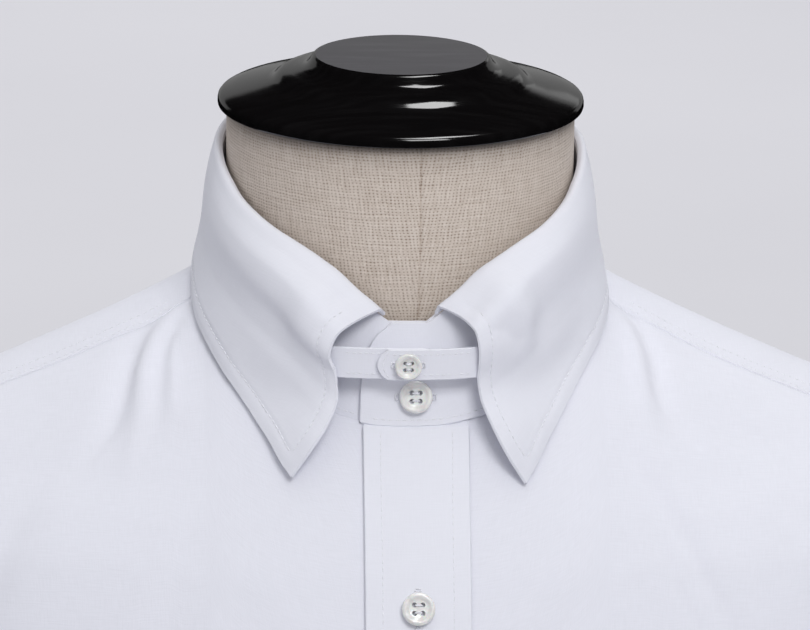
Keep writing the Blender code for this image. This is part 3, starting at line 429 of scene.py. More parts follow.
# %% Node helpers
def finish(name, colour, roughness, **numbers):
    """A new material with its plain numbers set on the shader's own sockets."""
    made = bpy.data.materials.new(name)
    made.use_nodes = True
    shader = made.node_tree.nodes["Principled BSDF"]
    shader.inputs["Base Color"].default_value = (*colour, 1.0)
    shader.inputs["Roughness"].default_value = roughness
    for key, value in numbers.items():
        shader.inputs[key.replace("_", " ")].default_value = value
    return made, made.node_tree, shader


def node(tree, kind, inputs=(), **settings):
    """Add a node; a value that is a socket is linked, any other is set."""
    made = tree.nodes.new(kind)
    for key, value in settings.items():
        setattr(made, key, value)
    for key, value in dict(inputs).items():
        if isinstance(value, bpy.types.NodeSocket):
            tree.links.new(value, made.inputs[key])
        else:
            made.inputs[key].default_value = value
    return made


def sums(tree, operation, first, second=0.0, third=0.0):
    made = node(tree, "ShaderNodeMath", {0: first, 1: second, 2: third}, operation=operation)
    return made.outputs[0]


def ramp(tree, value, stops):
    made = node(tree, "ShaderNodeValToRGB", {"Fac": value})
    points = made.color_ramp.elements
    while len(points) < len(stops):
        points.new(0.5)
    for point, (place, colour) in zip(points, stops):
        point.position = place
        point.color = (*colour, 1.0)
    return made.outputs["Color"]


def cut_place(tree):
    """The u and v of the flat cut, in millimetres."""
    where = node(tree, "ShaderNodeUVMap", uv_map="cut").outputs[0]
    parts = node(tree, "ShaderNodeSeparateXYZ", {0: where})
    return where, parts.outputs[0], parts.outputs[1]


def noise(tree, where, scale, detail=2.0, output=0, **more):
    inputs = {"Vector": where, "Scale": scale, "Detail": detail, **more}
    return node(tree, "ShaderNodeTexNoise", inputs).outputs[output]


def times(tree, vector, factors):
    made = node(tree, "ShaderNodeVectorMath", {0: vector, 1: factors}, operation="MULTIPLY")
    return made.outputs[0]


def threads(tree, where, across, down):
    """Noise drawn out along one thread direction."""
    return noise(tree, times(tree, where, (across, down, 1.0)), 1.0)


def own_place(tree):
    """Where a point lies in its own object, in metres."""
    return node(tree, "ShaderNodeTexCoord").outputs["Object"]


def paint(tree, shader, value, stops):
    tree.links.new(ramp(tree, value, stops), shader.inputs["Base Color"])


def emboss(tree, shader, height, depth):
    """Small relief; the depth is in millimetres."""
    inputs = {"Height": height, "Distance": depth * MM, "Strength": 1.0}
    made = node(tree, "ShaderNodeBump", inputs)
    tree.links.new(made.outputs[0], shader.inputs["Normal"])


# %% [markdown]
# ### Poplin
# Shirt poplin is a very fine plain weave, about 50 threads to the centimetre, white with a cool
# cast from the brightener in it. Its threads are finer than a pixel of the picture, and what
# shows is their unevenness: short pale and grey streaks along both thread directions. The
# collar, cuffs and placket have interlining behind the cloth and look smoother.

# %% White cotton
def poplin(name, colour, streaks, relief, rough):
    made, tree, shader = finish(name, colour, rough, Sheen_Weight=0.12, Sheen_Roughness=0.45,
                                Specular_IOR_Level=0.25)
    where = cut_place(tree)[0]
    both = sums(tree, "ADD", threads(tree, where, 2.6, 0.16), threads(tree, where, 0.14, 2.2))
    streak = sums(tree, "MULTIPLY_ADD", noise(tree, where, 0.035, 3.0), 0.6, both)
    low = tuple(value * (1 - streaks) for value in colour)
    high = tuple(min(1.0, value * (1 + 0.6 * streaks)) for value in colour)
    paint(tree, shader, sums(tree, "MULTIPLY", streak, 0.385), [(0.36, low), (0.66, high)])
    emboss(tree, shader, both, relief)
    return made


SHIRT_CLOTH = poplin("shirt_poplin", (0.800, 0.806, 0.880), 0.035, 0.055, 0.88)
COLLAR_CLOTH = poplin("collar_poplin", (0.815, 0.822, 0.892), 0.020, 0.030, 0.84)

# %% [markdown]
# ### Sewing thread
# The topstitching is the same white as the cloth but shinier, because the thread is twisted and
# polished. Fine slanting bands along each stitch are enough to read as twist.

# %% White thread
SEWING_THREAD, tree, shader = finish("sewing_thread", (0.84, 0.845, 0.90), 0.55, Sheen_Weight=0.2)
bands = {"Vector": own_place(tree), "Scale": 900.0, "Distortion": 0.6}
twist = node(tree, "ShaderNodeTexWave", bands, bands_direction="DIAGONAL").outputs["Fac"]
paint(tree, shader, twist, [(0.0, (0.76, 0.765, 0.82)), (1.0, (0.86, 0.865, 0.92))])
emboss(tree, shader, twist, 0.05)

# %% [markdown]
# ### Button plastic
# Shirt buttons are cast to look like shell: white with faint grey clouds, a clear surface and a
# soft inner glow, which a little subsurface light gives.

# %% Pearl white plastic
BUTTON_PLASTIC, tree, shader = finish(
    "pearl_plastic", (0.86, 0.86, 0.84), 0.24, Coat_Weight=0.5, Coat_Roughness=0.08,
    Subsurface_Weight=0.12, Subsurface_Scale=0.002)
cloud = noise(tree, own_place(tree), 260.0, 3.0, Distortion=1.2)
paint(tree, shader, cloud, [(0.3, (0.74, 0.74, 0.73)), (0.55, (0.87, 0.87, 0.85)),
                            (0.8, (0.93, 0.92, 0.90))])
emboss(tree, shader, cloud, 0.02)

# %% [markdown]
# ### Linen
# The form is covered in coarse undyed linen. Its threads are thick enough to see one by one:
# pale dots where a thread lies on top, and dark pits between. Two sets of sine ridges crossing
# each other give the dots and pits, and noise makes the threads wander and swell, as hand
# woven flax does. The upright threads lean the other way beyond the seam, because the linen
# was cut in two pieces. Just under the cap the colour is darkened as painted shade, which
# deepens the cap's shadow on the neck.

# %% Basket weave linen
LINEN_ACROSS = 1.31
LINEN_DOWN = 1.02
LINEN_LEAN = 0.19
LEAN_BEYOND_SEAM = -0.41
LINEN_SEAM_U = 4.0
LINEN_SEAM_HALF = 0.32
# painted shade: how far the colour sinks just under the cap, and how fast that fades downwards
PAINTED_SHADE_UNDER_CAP = -0.80
PAINTED_SHADE_FADES = 0.28
EULER = 2.718
LINEN_CLOTH, tree, shader = finish("form_linen", (0.60, 0.53, 0.47), 0.92, Sheen_Weight=0.1,
                                   Specular_IOR_Level=0.2)


def thread_wave(place, spacing):
    return sums(tree, "COSINE", sums(tree, "MULTIPLY", place, 2 * math.pi / spacing))


where, u, v = cut_place(tree)
wander = node(tree, "ShaderNodeSeparateXYZ", {0: noise(tree, where, 0.22, output="Color")})
beyond_seam = sums(tree, "GREATER_THAN", u, LINEN_SEAM_U)
slant = sums(tree, "MULTIPLY_ADD", beyond_seam, LEAN_BEYOND_SEAM, LINEN_LEAN)
leaning = sums(tree, "MULTIPLY_ADD", v, slant, u)
leaning = sums(tree, "MULTIPLY_ADD", wander.outputs[0], 1.3, leaning)
level = sums(tree, "MULTIPLY_ADD", wander.outputs[1], 0.9, v)
waves = sums(tree, "ADD", thread_wave(leaning, LINEN_ACROSS), thread_wave(level, LINEN_DOWN))
pits = sums(tree, "MULTIPLY", sums(tree, "MAXIMUM", waves, 0.0), 0.5)
pits = sums(tree, "POWER", pits, 1.3)
slubs = sums(tree, "ADD", threads(tree, where, 0.9, 0.08), threads(tree, where, 0.07, 1.1))
tone = sums(tree, "MULTIPLY_ADD", slubs, 0.30, sums(tree, "MULTIPLY_ADD", pits, -0.31, 0.262))
tone = sums(tree, "MULTIPLY_ADD", noise(tree, where, 1.1), 0.26, tone)
beside = sums(tree, "ABSOLUTE", sums(tree, "SUBTRACT", u, LINEN_SEAM_U))
in_seam = sums(tree, "LESS_THAN", beside, LINEN_SEAM_HALF)
tone = sums(tree, "MULTIPLY_ADD", in_seam, -0.10, tone)
pale = ramp(tree, tone, [(0.36, (0.27, 0.205, 0.16)), (0.54, (0.56, 0.475, 0.405)),
                         (0.74, (0.70, 0.62, 0.555)), (0.95, (0.80, 0.73, 0.67))])
# painted shade under the cap's rim, deepening the cap's shadow on the neck
cap_shade = sums(tree, "POWER", EULER, sums(tree, "MULTIPLY_ADD", v, PAINTED_SHADE_FADES, 2 * PAINTED_SHADE_FADES))
shade_factor = sums(tree, "MULTIPLY_ADD", cap_shade, PAINTED_SHADE_UNDER_CAP, 1.0)
tree.links.new(times(tree, pale, shade_factor), shader.inputs["Base Color"])
emboss(tree, shader, sums(tree, "MULTIPLY_ADD", pits, -0.35, slubs), 0.16)

# %% [markdown]
# ### Lacquer and painted steel
# The neck cap is turned wood under black gloss lacquer. The lacquer is smooth but not perfect:
# the grain sinks in a little and gives faint rings. Its top disc was rubbed down to a satin
# finish, and its colour is lifted to dark grey as painted sheen. The pole is steel with a thin
# black paint.

# %% Black finishes
def lacquer(name, colour, roughness, coat, grain):
    made, tree, shader = finish(name, colour, roughness, Coat_Weight=coat, Coat_Roughness=0.06)
    fibre = noise(tree, times(tree, own_place(tree), (40.0, 420.0, 160.0)), 1.0, 4.0)
    pale = tuple(value * 1.25 + 0.002 for value in colour)
    paint(tree, shader, fibre, [(0.45, colour), (0.80, pale)])
    uneven = sums(tree, "MULTIPLY_ADD", fibre, 0.06, roughness - 0.03)
    tree.links.new(uneven, shader.inputs["Roughness"])
    emboss(tree, shader, fibre, grain)
    return made


GLOSS_BLACK = lacquer("gloss_lacquer", (0.0036, 0.0032, 0.0035), 0.11, 0.0, 0.003)
# satin top disc: rougher lacquer, with its colour lifted to dark grey as painted sheen
SATIN_GREY_PAINTED_SHEEN = lacquer("satin_lacquer_painted_sheen", (0.088, 0.086, 0.093), 0.5, 0.0, 0.004)
PAINTED_STEEL = lacquer("painted_steel", (0.018, 0.018, 0.019), 0.34, 0.15, 0.015)
print(len(bpy.data.materials), "materials")

# %% [markdown]
# ## From points to cloth
# A piece of cloth is a grid of points with a thickness. Solidify could thicken it, but making
# both faces here lets the edge be rounded, lets a hem be thicker than the cloth above it, and
# keeps the cut's own measures for the weave. Rows run down the piece and columns across.

# %% Making a piece
BUILT, OUTSIDE, AREA = {}, {}, {}
EDGE_SWELL = 0.7


def to_metres(points):
    return (np.asarray(points, float) + np.array([0.0, 0.0, CAP_RIM_HEIGHT])) * MM


def link_mesh(name, points, faces, material, cut=None, sharp=50.0):
    """A smooth shaded mesh from points in millimetres, riding on the form."""
    mesh = bpy.data.meshes.new(name)
    mesh.from_pydata(to_metres(points).tolist(), [], faces)
    mesh.validate()
    if cut is not None:
        corner = np.empty(len(mesh.loops), np.int32)
        mesh.loops.foreach_get("vertex_index", corner)
        start = np.empty(len(mesh.polygons), np.int32)
        mesh.polygons.foreach_get("loop_start", start)
        flat = np.array(cut, np.float32)[corner]
        highest = np.maximum.reduceat(flat[:, 0], start)
        face = np.repeat(np.arange(len(start)), np.diff(np.append(start, len(flat))))
        joins = (flat[:, 2] > 0) & (highest[face] - flat[:, 0] > flat[:, 2] / 2)
        flat[joins, 0] += flat[joins, 2]
        layer = mesh.uv_layers.new(name="cut")
        layer.uv.foreach_set("vector", np.ascontiguousarray(flat[:, :2]).ravel())
    mesh.shade_smooth()
    mesh.set_sharp_from_angle(angle=math.radians(sharp))
    mesh.materials.append(material)
    made = bpy.data.objects.new(name, mesh)
    bpy.context.scene.collection.objects.link(made)
    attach(made, "root")
    BUILT[name] = made
    return made


def stand_in(piece, node_name):
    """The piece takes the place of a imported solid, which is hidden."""
    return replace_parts(piece, node_name)


def grid_normal(grid, outward):
    """Directions out of a free piece, worked out from its own points."""
    normal = unit(np.cross(np.gradient(grid, axis=1), np.gradient(grid, axis=0)))
    return normal * np.sign((normal * outward).sum(-1, keepdims=True).mean())


def cut_map(grid, closed, level):
    """Where each point lay on the flat cut, in millimetres, and the way round a tube."""
    steps = np.diff(np.concatenate([grid, grid[:, :1]], axis=1), axis=1)
    across = np.linalg.norm(steps[..., :2] if level else steps, axis=-1)
    down = np.linalg.norm(np.diff(grid, axis=0), axis=-1)
    u = np.concatenate([np.zeros((len(grid), 1)), np.cumsum(across[:, :-1], axis=1)], axis=1)
    v = np.concatenate([np.zeros((1, grid.shape[1])), np.cumsum(down, axis=0)], axis=0)
    if level:
        v = v - grid[:1, :, 2]
    if not closed:
        u = u - u[:, grid.shape[1] // 2][:, None]
    way_round = np.broadcast_to(across.sum(1)[:, None] if closed else 0.0, u.shape)
    return np.stack([u, -v, way_round], -1)


def cloth(name, grid, normal, thickness, material, closed=False, level=False):
    """A thin piece of cloth with rounded edges."""
    rows, columns = grid.shape[:2]
    half = np.broadcast_to(np.asarray(thickness, float) / 2, (rows, columns))[..., None]
    outer, inner = grid + normal * half, grid - normal * half
    flat = cut_map(grid, closed, level).reshape(-1, 3)
    last = columns if closed else columns - 1
    j, i = np.meshgrid(np.arange(rows - 1), np.arange(last), indexing="ij")
    k = (i + 1) % columns
    a, b = j * columns + i, j * columns + k
    quads = np.stack([a, b, b + columns, a + columns], -1).reshape(-1, 4)
    inside = rows * columns
    faces = quads.tolist() + (inside + quads[:, ::-1]).tolist()
    around_edge = np.arange(columns)
    rims = [(around_edge, outer[0] - outer[1]),
            (around_edge[::-1] + (rows - 1) * columns, (outer[-1] - outer[-2])[::-1])]
    if not closed:
        down_edge = np.arange(rows) * columns
        rims.append((down_edge[::-1], (outer[:, 0] - outer[:, 1])[::-1]))
        rims.append((down_edge + columns - 1, outer[:, -1] - outer[:, -2]))
    points = [outer.reshape(-1, 3), inner.reshape(-1, 3)]
    cuts = [flat, flat]
    count = 2 * inside
    reach = half.reshape(-1, 1)
    for loop, way in rims:
        points.append(grid.reshape(-1, 3)[loop] + unit(way) * reach[loop] * EDGE_SWELL)
        cuts.append(flat[loop])
        steps = len(loop) if closed else len(loop) - 1
        for n in range(steps):
            m = (n + 1) % len(loop)
            faces.append((int(loop[m]), int(loop[n]), count + n, count + m))
            faces.append((count + m, count + n, int(loop[n]) + inside, int(loop[m]) + inside))
        count += len(loop)
    return link_mesh(name, np.concatenate(points), faces, material, np.concatenate(cuts))


def flat_area(grid):
    """Area of a grid of points, in square metres."""
    across, down = grid[:-1, 1:] - grid[:-1, :-1], grid[1:, :-1] - grid[:-1, :-1]
    return float(np.linalg.norm(np.cross(across, down), axis=-1).sum()) * MM * MM


def keep(name, grid, normal, thickness, closed=False):
    """Remember a piece's outer face for its stitches, and the area that it was cut to."""
    outer = grid + normal * thickness / 2
    OUTSIDE[name] = np.concatenate([outer, np.broadcast_to(normal, grid.shape)], -1)
    AREA[name] = flat_area(np.concatenate([grid, grid[:, :1]], axis=1) if closed else grid)
    print(name, grid.shape[:2], "points,", round(AREA[name] * 1e4, 1), "square centimetres")


# %% [markdown]
# ## Stitches
# A shirt is judged by its topstitching: about four stitches to the centimetre, sunk a little
# into the cloth. Each stitch is modelled as a short plump strand, because a painted dash would
# lie flat. The strand follows the surface under it, and a line of stitches becomes one mesh.

# %% Sewing a line
STITCH_SIDES = 6
# share of its length, thickness, height
STITCH_SHAPE = [(0.0, 0.35, -0.9), (0.18, 0.9, -0.1), (0.5, 1.0, 0.15), (0.82, 0.9, -0.1),
                (1.0, 0.35, -0.9)]
STITCH_GAP = 0.09


def strand(start, end, up, radius):
    """Points of one stitch, ring after ring, fatter in its middle."""
    side = unit(np.cross(unit(end - start), up))
    turns = np.linspace(0.0, 2 * math.pi, STITCH_SIDES, endpoint=False)
    ring = np.cos(turns)[:, None] * side + np.sin(turns)[:, None] * up
    return np.concatenate([start + share * (end - start) + ring * radius * fat + up * radius * sink
                           for share, fat, sink in STITCH_SHAPE])


def strand_faces(base):
    """Faces of one stitch whose points start at base: rings of quads and two ends."""
    faces = []
    for ring in range(len(STITCH_SHAPE) - 1):
        low = base + ring * STITCH_SIDES
        high = low + STITCH_SIDES
        for n in range(STITCH_SIDES):
            m = (n + 1) % STITCH_SIDES
            faces.append((low + n, low + m, high + m, high + n))
    faces.append(tuple(base + n for n in range(STITCH_SIDES))[::-1])
    faces.append(tuple(high + n for n in range(STITCH_SIDES)))
    return faces


def sew(name, lines, pitch=2.5, radius=0.17):
    """Stitches along lines of points with a direction out at each (six numbers a row)."""
    points, faces = [], []
    for line in lines:
        length = run_of(line)[-1]
        at = at_run(line, np.linspace(0.0, length, max(1, int(length / pitch)) + 1))
        for first, last in zip(at, at[1:]):
            faces += strand_faces(len(points) * len(STITCH_SHAPE) * STITCH_SIDES)
            gap = STITCH_GAP * (last[:3] - first[:3])
            up = unit(first[3:] + last[3:])
            points.append(strand(first[:3] + gap, last[:3] - gap, up, radius))
    made = link_mesh(name, np.concatenate(points), faces, SEWING_THREAD)
    print(name, len(points), "stitches")
    return made


def inset(sheet, edge, distance):
    """The line that runs a given distance inside one edge of a grid with directions."""
    lines = {"top": sheet.swapaxes(0, 1), "bottom": sheet[::-1].swapaxes(0, 1),
             "left": sheet, "right": sheet[:, ::-1]}[edge]
    return np.array([at_run(line, distance) for line in lines])


# %% [markdown]
# ## The fronts
# Each front runs from the neckline and the yoke seam down to the curved hem. It could be cut
# flat and draped by simulation, but on a dress form the cloth lies close to the chest, so it
# is drawn there column by column: straight down in the middle, and spreading to the armhole
# and side seam. The rows are closest near the collar, where the creases are.

# %% Drawing a front
BODY_THICK = 0.7
HEM_THICK = 1.3
HEM_WIDTH = 6.5
NECK_COLUMNS = 22
ROWS_ABOVE = 84
ROWS_BELOW = 92
WIDENS_FROM_X = 60.0
UNDERLAP_X = 17.0
PLACKET_RIGHT_X = 20.0
HEM_ROWS = np.array([9.0, 7.2, 6.6, 6.2, 4.0, 2.0, 0.0])
# how far a seam allowance reaches, and how far it lies under
BODY_TUCK = (2.4, 1.0)
# the share of both at each added row
TUCK_ROWS = ((1.0, 1.0), (0.35, 0.8))


def side_width(drop, turns):
    """Half width of a panel's outer edge: the armhole, and below it the side seam."""
    edge = armhole(turns)
    order = np.argsort(-edge[:, 2])
    armhole_width = np.interp(drop, -edge[order, 2], edge[order, 0])
    return np.where(drop < UNDERARM_DROP, armhole_width, section(drop)[0])


def body_column(start, share, turns, surface_y, end_width):
    """Points down one column of a body panel, from its top edge to the hem."""
    top = -start[2]
    hem = hem_drop(start[0], surface_y(start[0], 400.0))
    drops = top + (hem - top) * np.linspace(0.0, 1.0, 500) ** 2.2
    x = start[0] + share * (side_width(drops, turns) - end_width)
    line = np.stack([x, surface_y(x, drops), -drops], -1)
    line[0] = start
    return line


def below_shares(length):
    """Shares down the lower part of a column, with close rows at the hem."""
    even = np.linspace(0.0, 1.0 - 2 * HEM_ROWS[0] / length, ROWS_BELOW)
    return np.concatenate([even, 1.0 - HEM_ROWS / length])


def split_rows(line):
    """Rows down a column: even steps to the underarm level, then on to the hem."""
    cut = int(np.searchsorted(-line[:, 2], UNDERARM_DROP))
    upper = along(np.vstack([line[:cut], line[cut]]), np.linspace(0, 1, ROWS_ABOVE + 1))
    lower = along(line[cut:], below_shares(run_of(line[cut:])[-1]))
    return np.vstack([upper, lower[1:]])


def side_seam():
    drops = np.linspace(UNDERARM_DROP, float(around(HEM, 90.0)[..., 0]), 60)
    width, middle = section(drops)[:2]
    seam = np.stack([width, middle, -drops], -1)
    return along(seam, below_shares(run_of(seam)[-1]))


def panel_side(first_turn, last_turn):
    """Outer edge of a body panel: down the armhole, then down the side seam."""
    edge = armhole(np.linspace(first_turn, last_turn, ROWS_ABOVE + 1))
    return np.vstack([edge, side_seam()[1:]])


def front_grid(side, edge_x):
    """Grid of one front; side is +1 for the wearer's left."""
    turns = np.linspace(FRONT_TURN, 180.0, 90)
    angles = np.linspace(neckline_angle(edge_x), NECK_POINT_ANGLE, NECK_COLUMNS)
    top = np.vstack([neckline(angles)[:-1], yoke_seam(side)])
    end_width = top[-1, 0]
    columns = []
    for point in top[:-1]:
        share = np.clip((point[0] - WIDENS_FROM_X) / (end_width - WIDENS_FROM_X), 0.0, 1.0) ** 2
        line = body_column(point, share, turns, front_y, end_width)
        columns.append(split_rows(line))
    return mirrored(np.stack(columns + [panel_side(FRONT_TURN, 180.0)], axis=1), side)


def tucked(grid, out, reach, under):
    """Add the seam allowance: the top edge goes on under its neighbour."""
    way = unit(grid[0] - grid[1])
    extra = [grid[0] + way * reach * share - out[0] * under * sunk for share, sunk in TUCK_ROWS]
    return np.concatenate([extra, grid]), np.concatenate([out[:1], out[:1], out])


def hemmed(grid):
    """Thickness of a body panel: a narrow hem is turned up along its lower edge."""
    thick = np.full(grid.shape[:2], BODY_THICK)
    for column in range(grid.shape[1]):
        run = run_of(grid[:, column])
        thick[run > run[-1] - HEM_WIDTH, column] = HEM_THICK
    return thick


def body_panel(name, flat, node_name):
    """Crease a panel of the body, turn up its hem and tuck in its upper seam."""
    grid, out = creased(flat)
    keep(name, grid, out, BODY_THICK)
    grid, out = tucked(grid, out, *BODY_TUCK)
    piece = cloth(name, grid, out, hemmed(grid), SHIRT_CLOTH, level=True)
    return stand_in(piece, node_name)


body_panel("front_right_cloth", front_grid(-1, -UNDERLAP_X), "front_right")
body_panel("front_left_cloth", front_grid(1, PLACKET_RIGHT_X), "front_left")

# %% [markdown]
# ## The back and the yoke
# The back hangs from the yoke between the armholes and ends in the shirt tail. The yoke is the
# double piece over the shoulders. It is drawn as a patch between the neckline and the outer
# line of seams, then settled on the shoulders.

# %% Drawing the back and the yoke
BACK_COLUMNS = 44
YOKE_ARM_POINTS = 14
YOKE_THICK = 0.9
YOKE_LIFT = 0.25
YOKE_TUCK = (1.6, 0.8)


def back_grid():
    turns = np.linspace(BACK_TURN, -180.0, 90)
    width = armhole(BACK_TURN)[0]
    half = []
    for x in (width * np.sin(np.linspace(0.0, math.pi / 2, BACK_COLUMNS)))[:-1]:
        point = np.array([x, back_y(x, BACK_SEAM_DROP), -BACK_SEAM_DROP])
        line = body_column(point, (x / width) ** 2, turns, back_y, width)
        half.append(split_rows(line))
    left = np.stack(half + [panel_side(BACK_TURN, -180.0)], axis=1)
    return np.concatenate([mirrored(left[:, :0:-1], -1), left], axis=1)


def yoke_grid(back_top):
    """Rows out from the neckline, columns from the wearer's right to the left."""
    seam, right_seam = yoke_seam(1), yoke_seam(-1)
    edge = armhole(np.linspace(FRONT_TURN, BACK_TURN, YOKE_ARM_POINTS))
    outer = np.vstack([mirrored(edge[:-1], -1), back_top, edge[::-1][1:]])
    inner = neckline(np.linspace(-NECK_POINT_ANGLE, -360.0 + NECK_POINT_ANGLE, len(outer)))
    share = np.linspace(0.0, 1.0, len(outer))[None, :, None]
    lengths = np.linalg.norm(seam - seam[0], axis=1)
    out = (lengths / lengths[-1])[:, None, None]
    ruled = (1 - out) * inner[None] + out * outer[None]
    start, end = mirrored(right_seam, -1)[:, None], seam[:, None]
    corner_start = (1 - out) * inner[0] + out * outer[0]
    corner_end = (1 - out) * inner[-1] + out * outer[-1]
    patch = ruled + (1 - share) * (start - corner_start) + share * (end - corner_end)
    patch[1:-1, 1:-1] = onto_torso(patch[1:-1, 1:-1])
    return patch


plain_back = back_grid()
body_panel("back_cloth", plain_back, "back")
grid, out = creased(yoke_grid(plain_back[0]), YOKE_LIFT)
keep("yoke_cloth", grid, out, YOKE_THICK)
grid, out = tucked(grid, out, *YOKE_TUCK)
stand_in(cloth("yoke_cloth", grid, out, YOKE_THICK, SHIRT_CLOTH), "yoke")

# %% [markdown]
# ## The placket
# The band that carries the buttonholes lies on the left front's edge, 35 mm wide, over the
# right front. It is two layers with interlining, so it has crisp edges and a row of stitches
# near each of them.

# %% Drawing the placket
WALL = 1.2
LAYER_GAP = 0.4
SEAM_GAP = 0.3
PLACKET_LIFT = WALL + LAYER_GAP
PLACKET_LOWERED = 2.6
PLACKET_THICK = 1.0
PLACKET_TUCK = (3.4, 1.5)
PLACKET_XS = np.array([-14.5, -14.1, -13.2, -11, -8.2, -7.6, -7, -3, 1, 5, 9, 12.6, 13.2, 13.8, 16,
                       18.4, 19.3, 19.7])

rows = front_grid(1, PLACKET_RIGHT_X)[:, 0]
drops = -rows[:, 2]
drops[0] += PLACKET_LOWERED
drops[1] = max(drops[1], drops[0] + 1.0)
drops[-1] -= SEAM_GAP
x, drop = np.meshgrid(PLACKET_XS, np.sort(drops))
grid, out = creased(np.stack([x, front_y(x, drop), -drop], -1), PLACKET_LIFT)
keep("placket_band", grid, out, PLACKET_THICK)
PLACKET_LINE = grid[:, 5:11].mean(1)
grid, out = tucked(grid, out, *PLACKET_TUCK)
piece = cloth("placket_band", grid, out, PLACKET_THICK, COLLAR_CLOTH)
stand_in(piece, "placket")

# %% [markdown]
# ## Sleeves and cuffs
# A sleeve is one piece rolled into a tube: it starts at the armhole, bends a little and narrows
# to the cuff. Its creases gather inside the elbow and above the cuff, where two pleats take in
# the width. The folds are troughs across the tube, placed one by one, and they differ on the two
# sides as they do on any worn sleeve.

# %% Drawing a sleeve
# outer_x, outer_drop, inner_x, inner_drop, half_depth
SLEEVE = [
    (226.0, 137.0, 210.0, 239.0, 66.0),
    (241.0, 150.0, 209.5, 244.0, 71.0),
    (255.0, 174.0, 208.5, 251.0, 74.0),
    (264.0, 208.0, 207.0, 262.0, 76.0),
    (269.0, 262.0, 205.0, 290.0, 76.0),
    (269.0, 340.0, 205.0, 350.0, 72.0),
    (266.0, 430.0, 207.0, 430.0, 66.0),
    (262.0, 530.0, 210.0, 530.0, 59.0),
    (258.0, 620.0, 213.0, 620.0, 51.0),
    (255.0, 675.0, 215.0, 675.0, 45.0),
]
SLEEVE_RINGS = 118
UNDERARM_CLEARANCE = 1.7
SLEEVE_START = 0.5
# turn round the tube, drop, how far it reaches round, its width down, slant, depth
SLEEVE_CREASES = [
    (95.0, 236.0, 50.0, 9.0, 0.45, 2.4),
    (70.0, 268.0, 44.0, 10.0, 0.60, 1.8),
    (-96.0, 246.0, 48.0, 10.0, 0.50, 2.2),
    (-60.0, 300.0, 40.0, 12.0, 0.40, 1.8),
    (120.0, 392.0, 52.0, 8.0, 0.30, 2.6),
    (96.0, 416.0, 60.0, 7.5, 0.12, 3.0),
    (104.0, 440.0, 50.0, 8.0, -0.20, 2.2),
    (-110.0, 430.0, 46.0, 10.0, 0.25, 2.0),
    (40.0, 350.0, 34.0, 13.0, 0.8, 1.6),
    (-40.0, 500.0, 40.0, 12.0, -0.5, 1.8),
    (76.0, 540.0, 38.0, 10.0, 0.5, 1.8),
    (130.0, 600.0, 36.0, 9.0, -0.4, 1.6),
]
OTHER_SLEEVE_SHIFT = 11.0
# turn round the tube, its width round
PLEATS = [(-118.0, 7.0), (-98.0, 7.0)]
PLEAT_DEPTH = 1.8
PLEATS_FROM_DROP, PLEATS_GROW = 560.0, 90.0


def sleeve_depth(degrees, drop, side):
    """How far creases and pleats move each point of a sleeve out of its tube."""
    depth = np.zeros(drop.shape)
    shift = 0 if side > 0 else OTHER_SLEEVE_SHIFT
    for middle, crease_drop, reach, width, slant, sink in SLEEVE_CREASES:
        apart = half_turn(degrees - middle * side)
        below = drop - (crease_drop + shift * math.sin(crease_drop) + slant * apart)
        around_it = -(apart / reach) ** 2
        depth -= sink * np.exp(around_it - (below / width) ** 2)
        depth += 0.6 * sink * np.exp(around_it - ((below - 1.7 * width) / width) ** 2)
    for middle, width in PLEATS:
        apart = half_turn(degrees - middle)
        fade = np.clip((drop - PLEATS_FROM_DROP) / PLEATS_GROW, 0.0, 1.0)
        sharp = np.where(apart > 0, 1.0, 0.5)
        depth -= PLEAT_DEPTH * fade * np.exp(-((apart / width) ** 2)) * sharp
    depth[:6] *= np.linspace(0.0, 1.0, 6)[:, None]
    depth[-3:] *= np.array([0.7, 0.4, 0.1])[:, None]
    return depth


def sleeve_tube(side):
    """Rings of a sleeve from the armhole to the cuff, drawn on the left and mirrored."""
    turns = np.concatenate([np.linspace(start, start + 180.0, 61)[:-1] for start in (0.0, -180.0)])
    loop = armhole(turns)
    centre = loop.mean(0)
    turn = np.arctan2(-(loop[:, 1] - centre[1]) / ARMHOLE_HALF_DEPTH,
                      (loop[:, 2] - centre[2]) / ARMHOLE_HALF_HEIGHT)
    table = np.column_stack([np.arange(1, len(SLEEVE) + 1), SLEEVE])
    clear = UNDERARM_CLEARANCE * (0.5 - 0.5 * np.cos(turn)) ** 2
    first = loop + torso_normal(loop) * clear[:, None]
    rings = []
    for station in 1 + (len(SLEEVE) - 1) * np.linspace(0.0, 1.0, SLEEVE_RINGS):
        outer_x, outer_drop, inner_x, inner_drop, half_depth = through(table, station)
        outer, inner = np.array([outer_x, 0.0, -outer_drop]), np.array([inner_x, 0.0, -inner_drop])
        ring = (outer + inner) / 2 + np.cos(turn)[:, None] * (outer - inner) / 2
        ring[:, 1] = -half_depth * np.sin(turn)
        rings.append(ring)
    start = first + SLEEVE_START * unit(rings[0] - first)
    near = [start + share * (rings[0] - start) for share in (0.0, 0.25, 0.5, 0.75)]
    grid = np.stack(near + rings)
    outward = unit(np.stack([np.cos(turn) * 1.4, -np.sin(turn), 0 * turn], -1))
    depth = sleeve_depth(np.degrees(turn), -grid[..., 2], side)
    return mirrored(grid + outward * depth[..., None], side), grid.mean(1, keepdims=True)


CUFF_MIDDLE_X = 235.0
CUFF_HALF_WIDTH = 20.0
CUFF_HALF_DEPTH = 45.0
CUFF_SQUEEZE = np.array([(CUFF_HALF_DEPTH / CUFF_HALF_WIDTH) ** 2, 1.0, 0.0])
CUFF_THICK = 1.4
CUFF_ENDS = (-158.0, 217.0)
# turn round the wrist, how far out of its middle line
CUFF_LAPS = [(-158.0, 1.0), (-128.0, 1.0), (-53.0, 0.0), (112.0, 0.0), (187.0, -1.0),
             (217.0, -1.0)]
CUFF_ROWS = np.array([0.0, 0.8, 2.5, 4.5, 5.2, 6.0, 12, 20, 32, 44, 52, 58, 58.8, 59.5, 61.5, 63.2,
                      64.0])


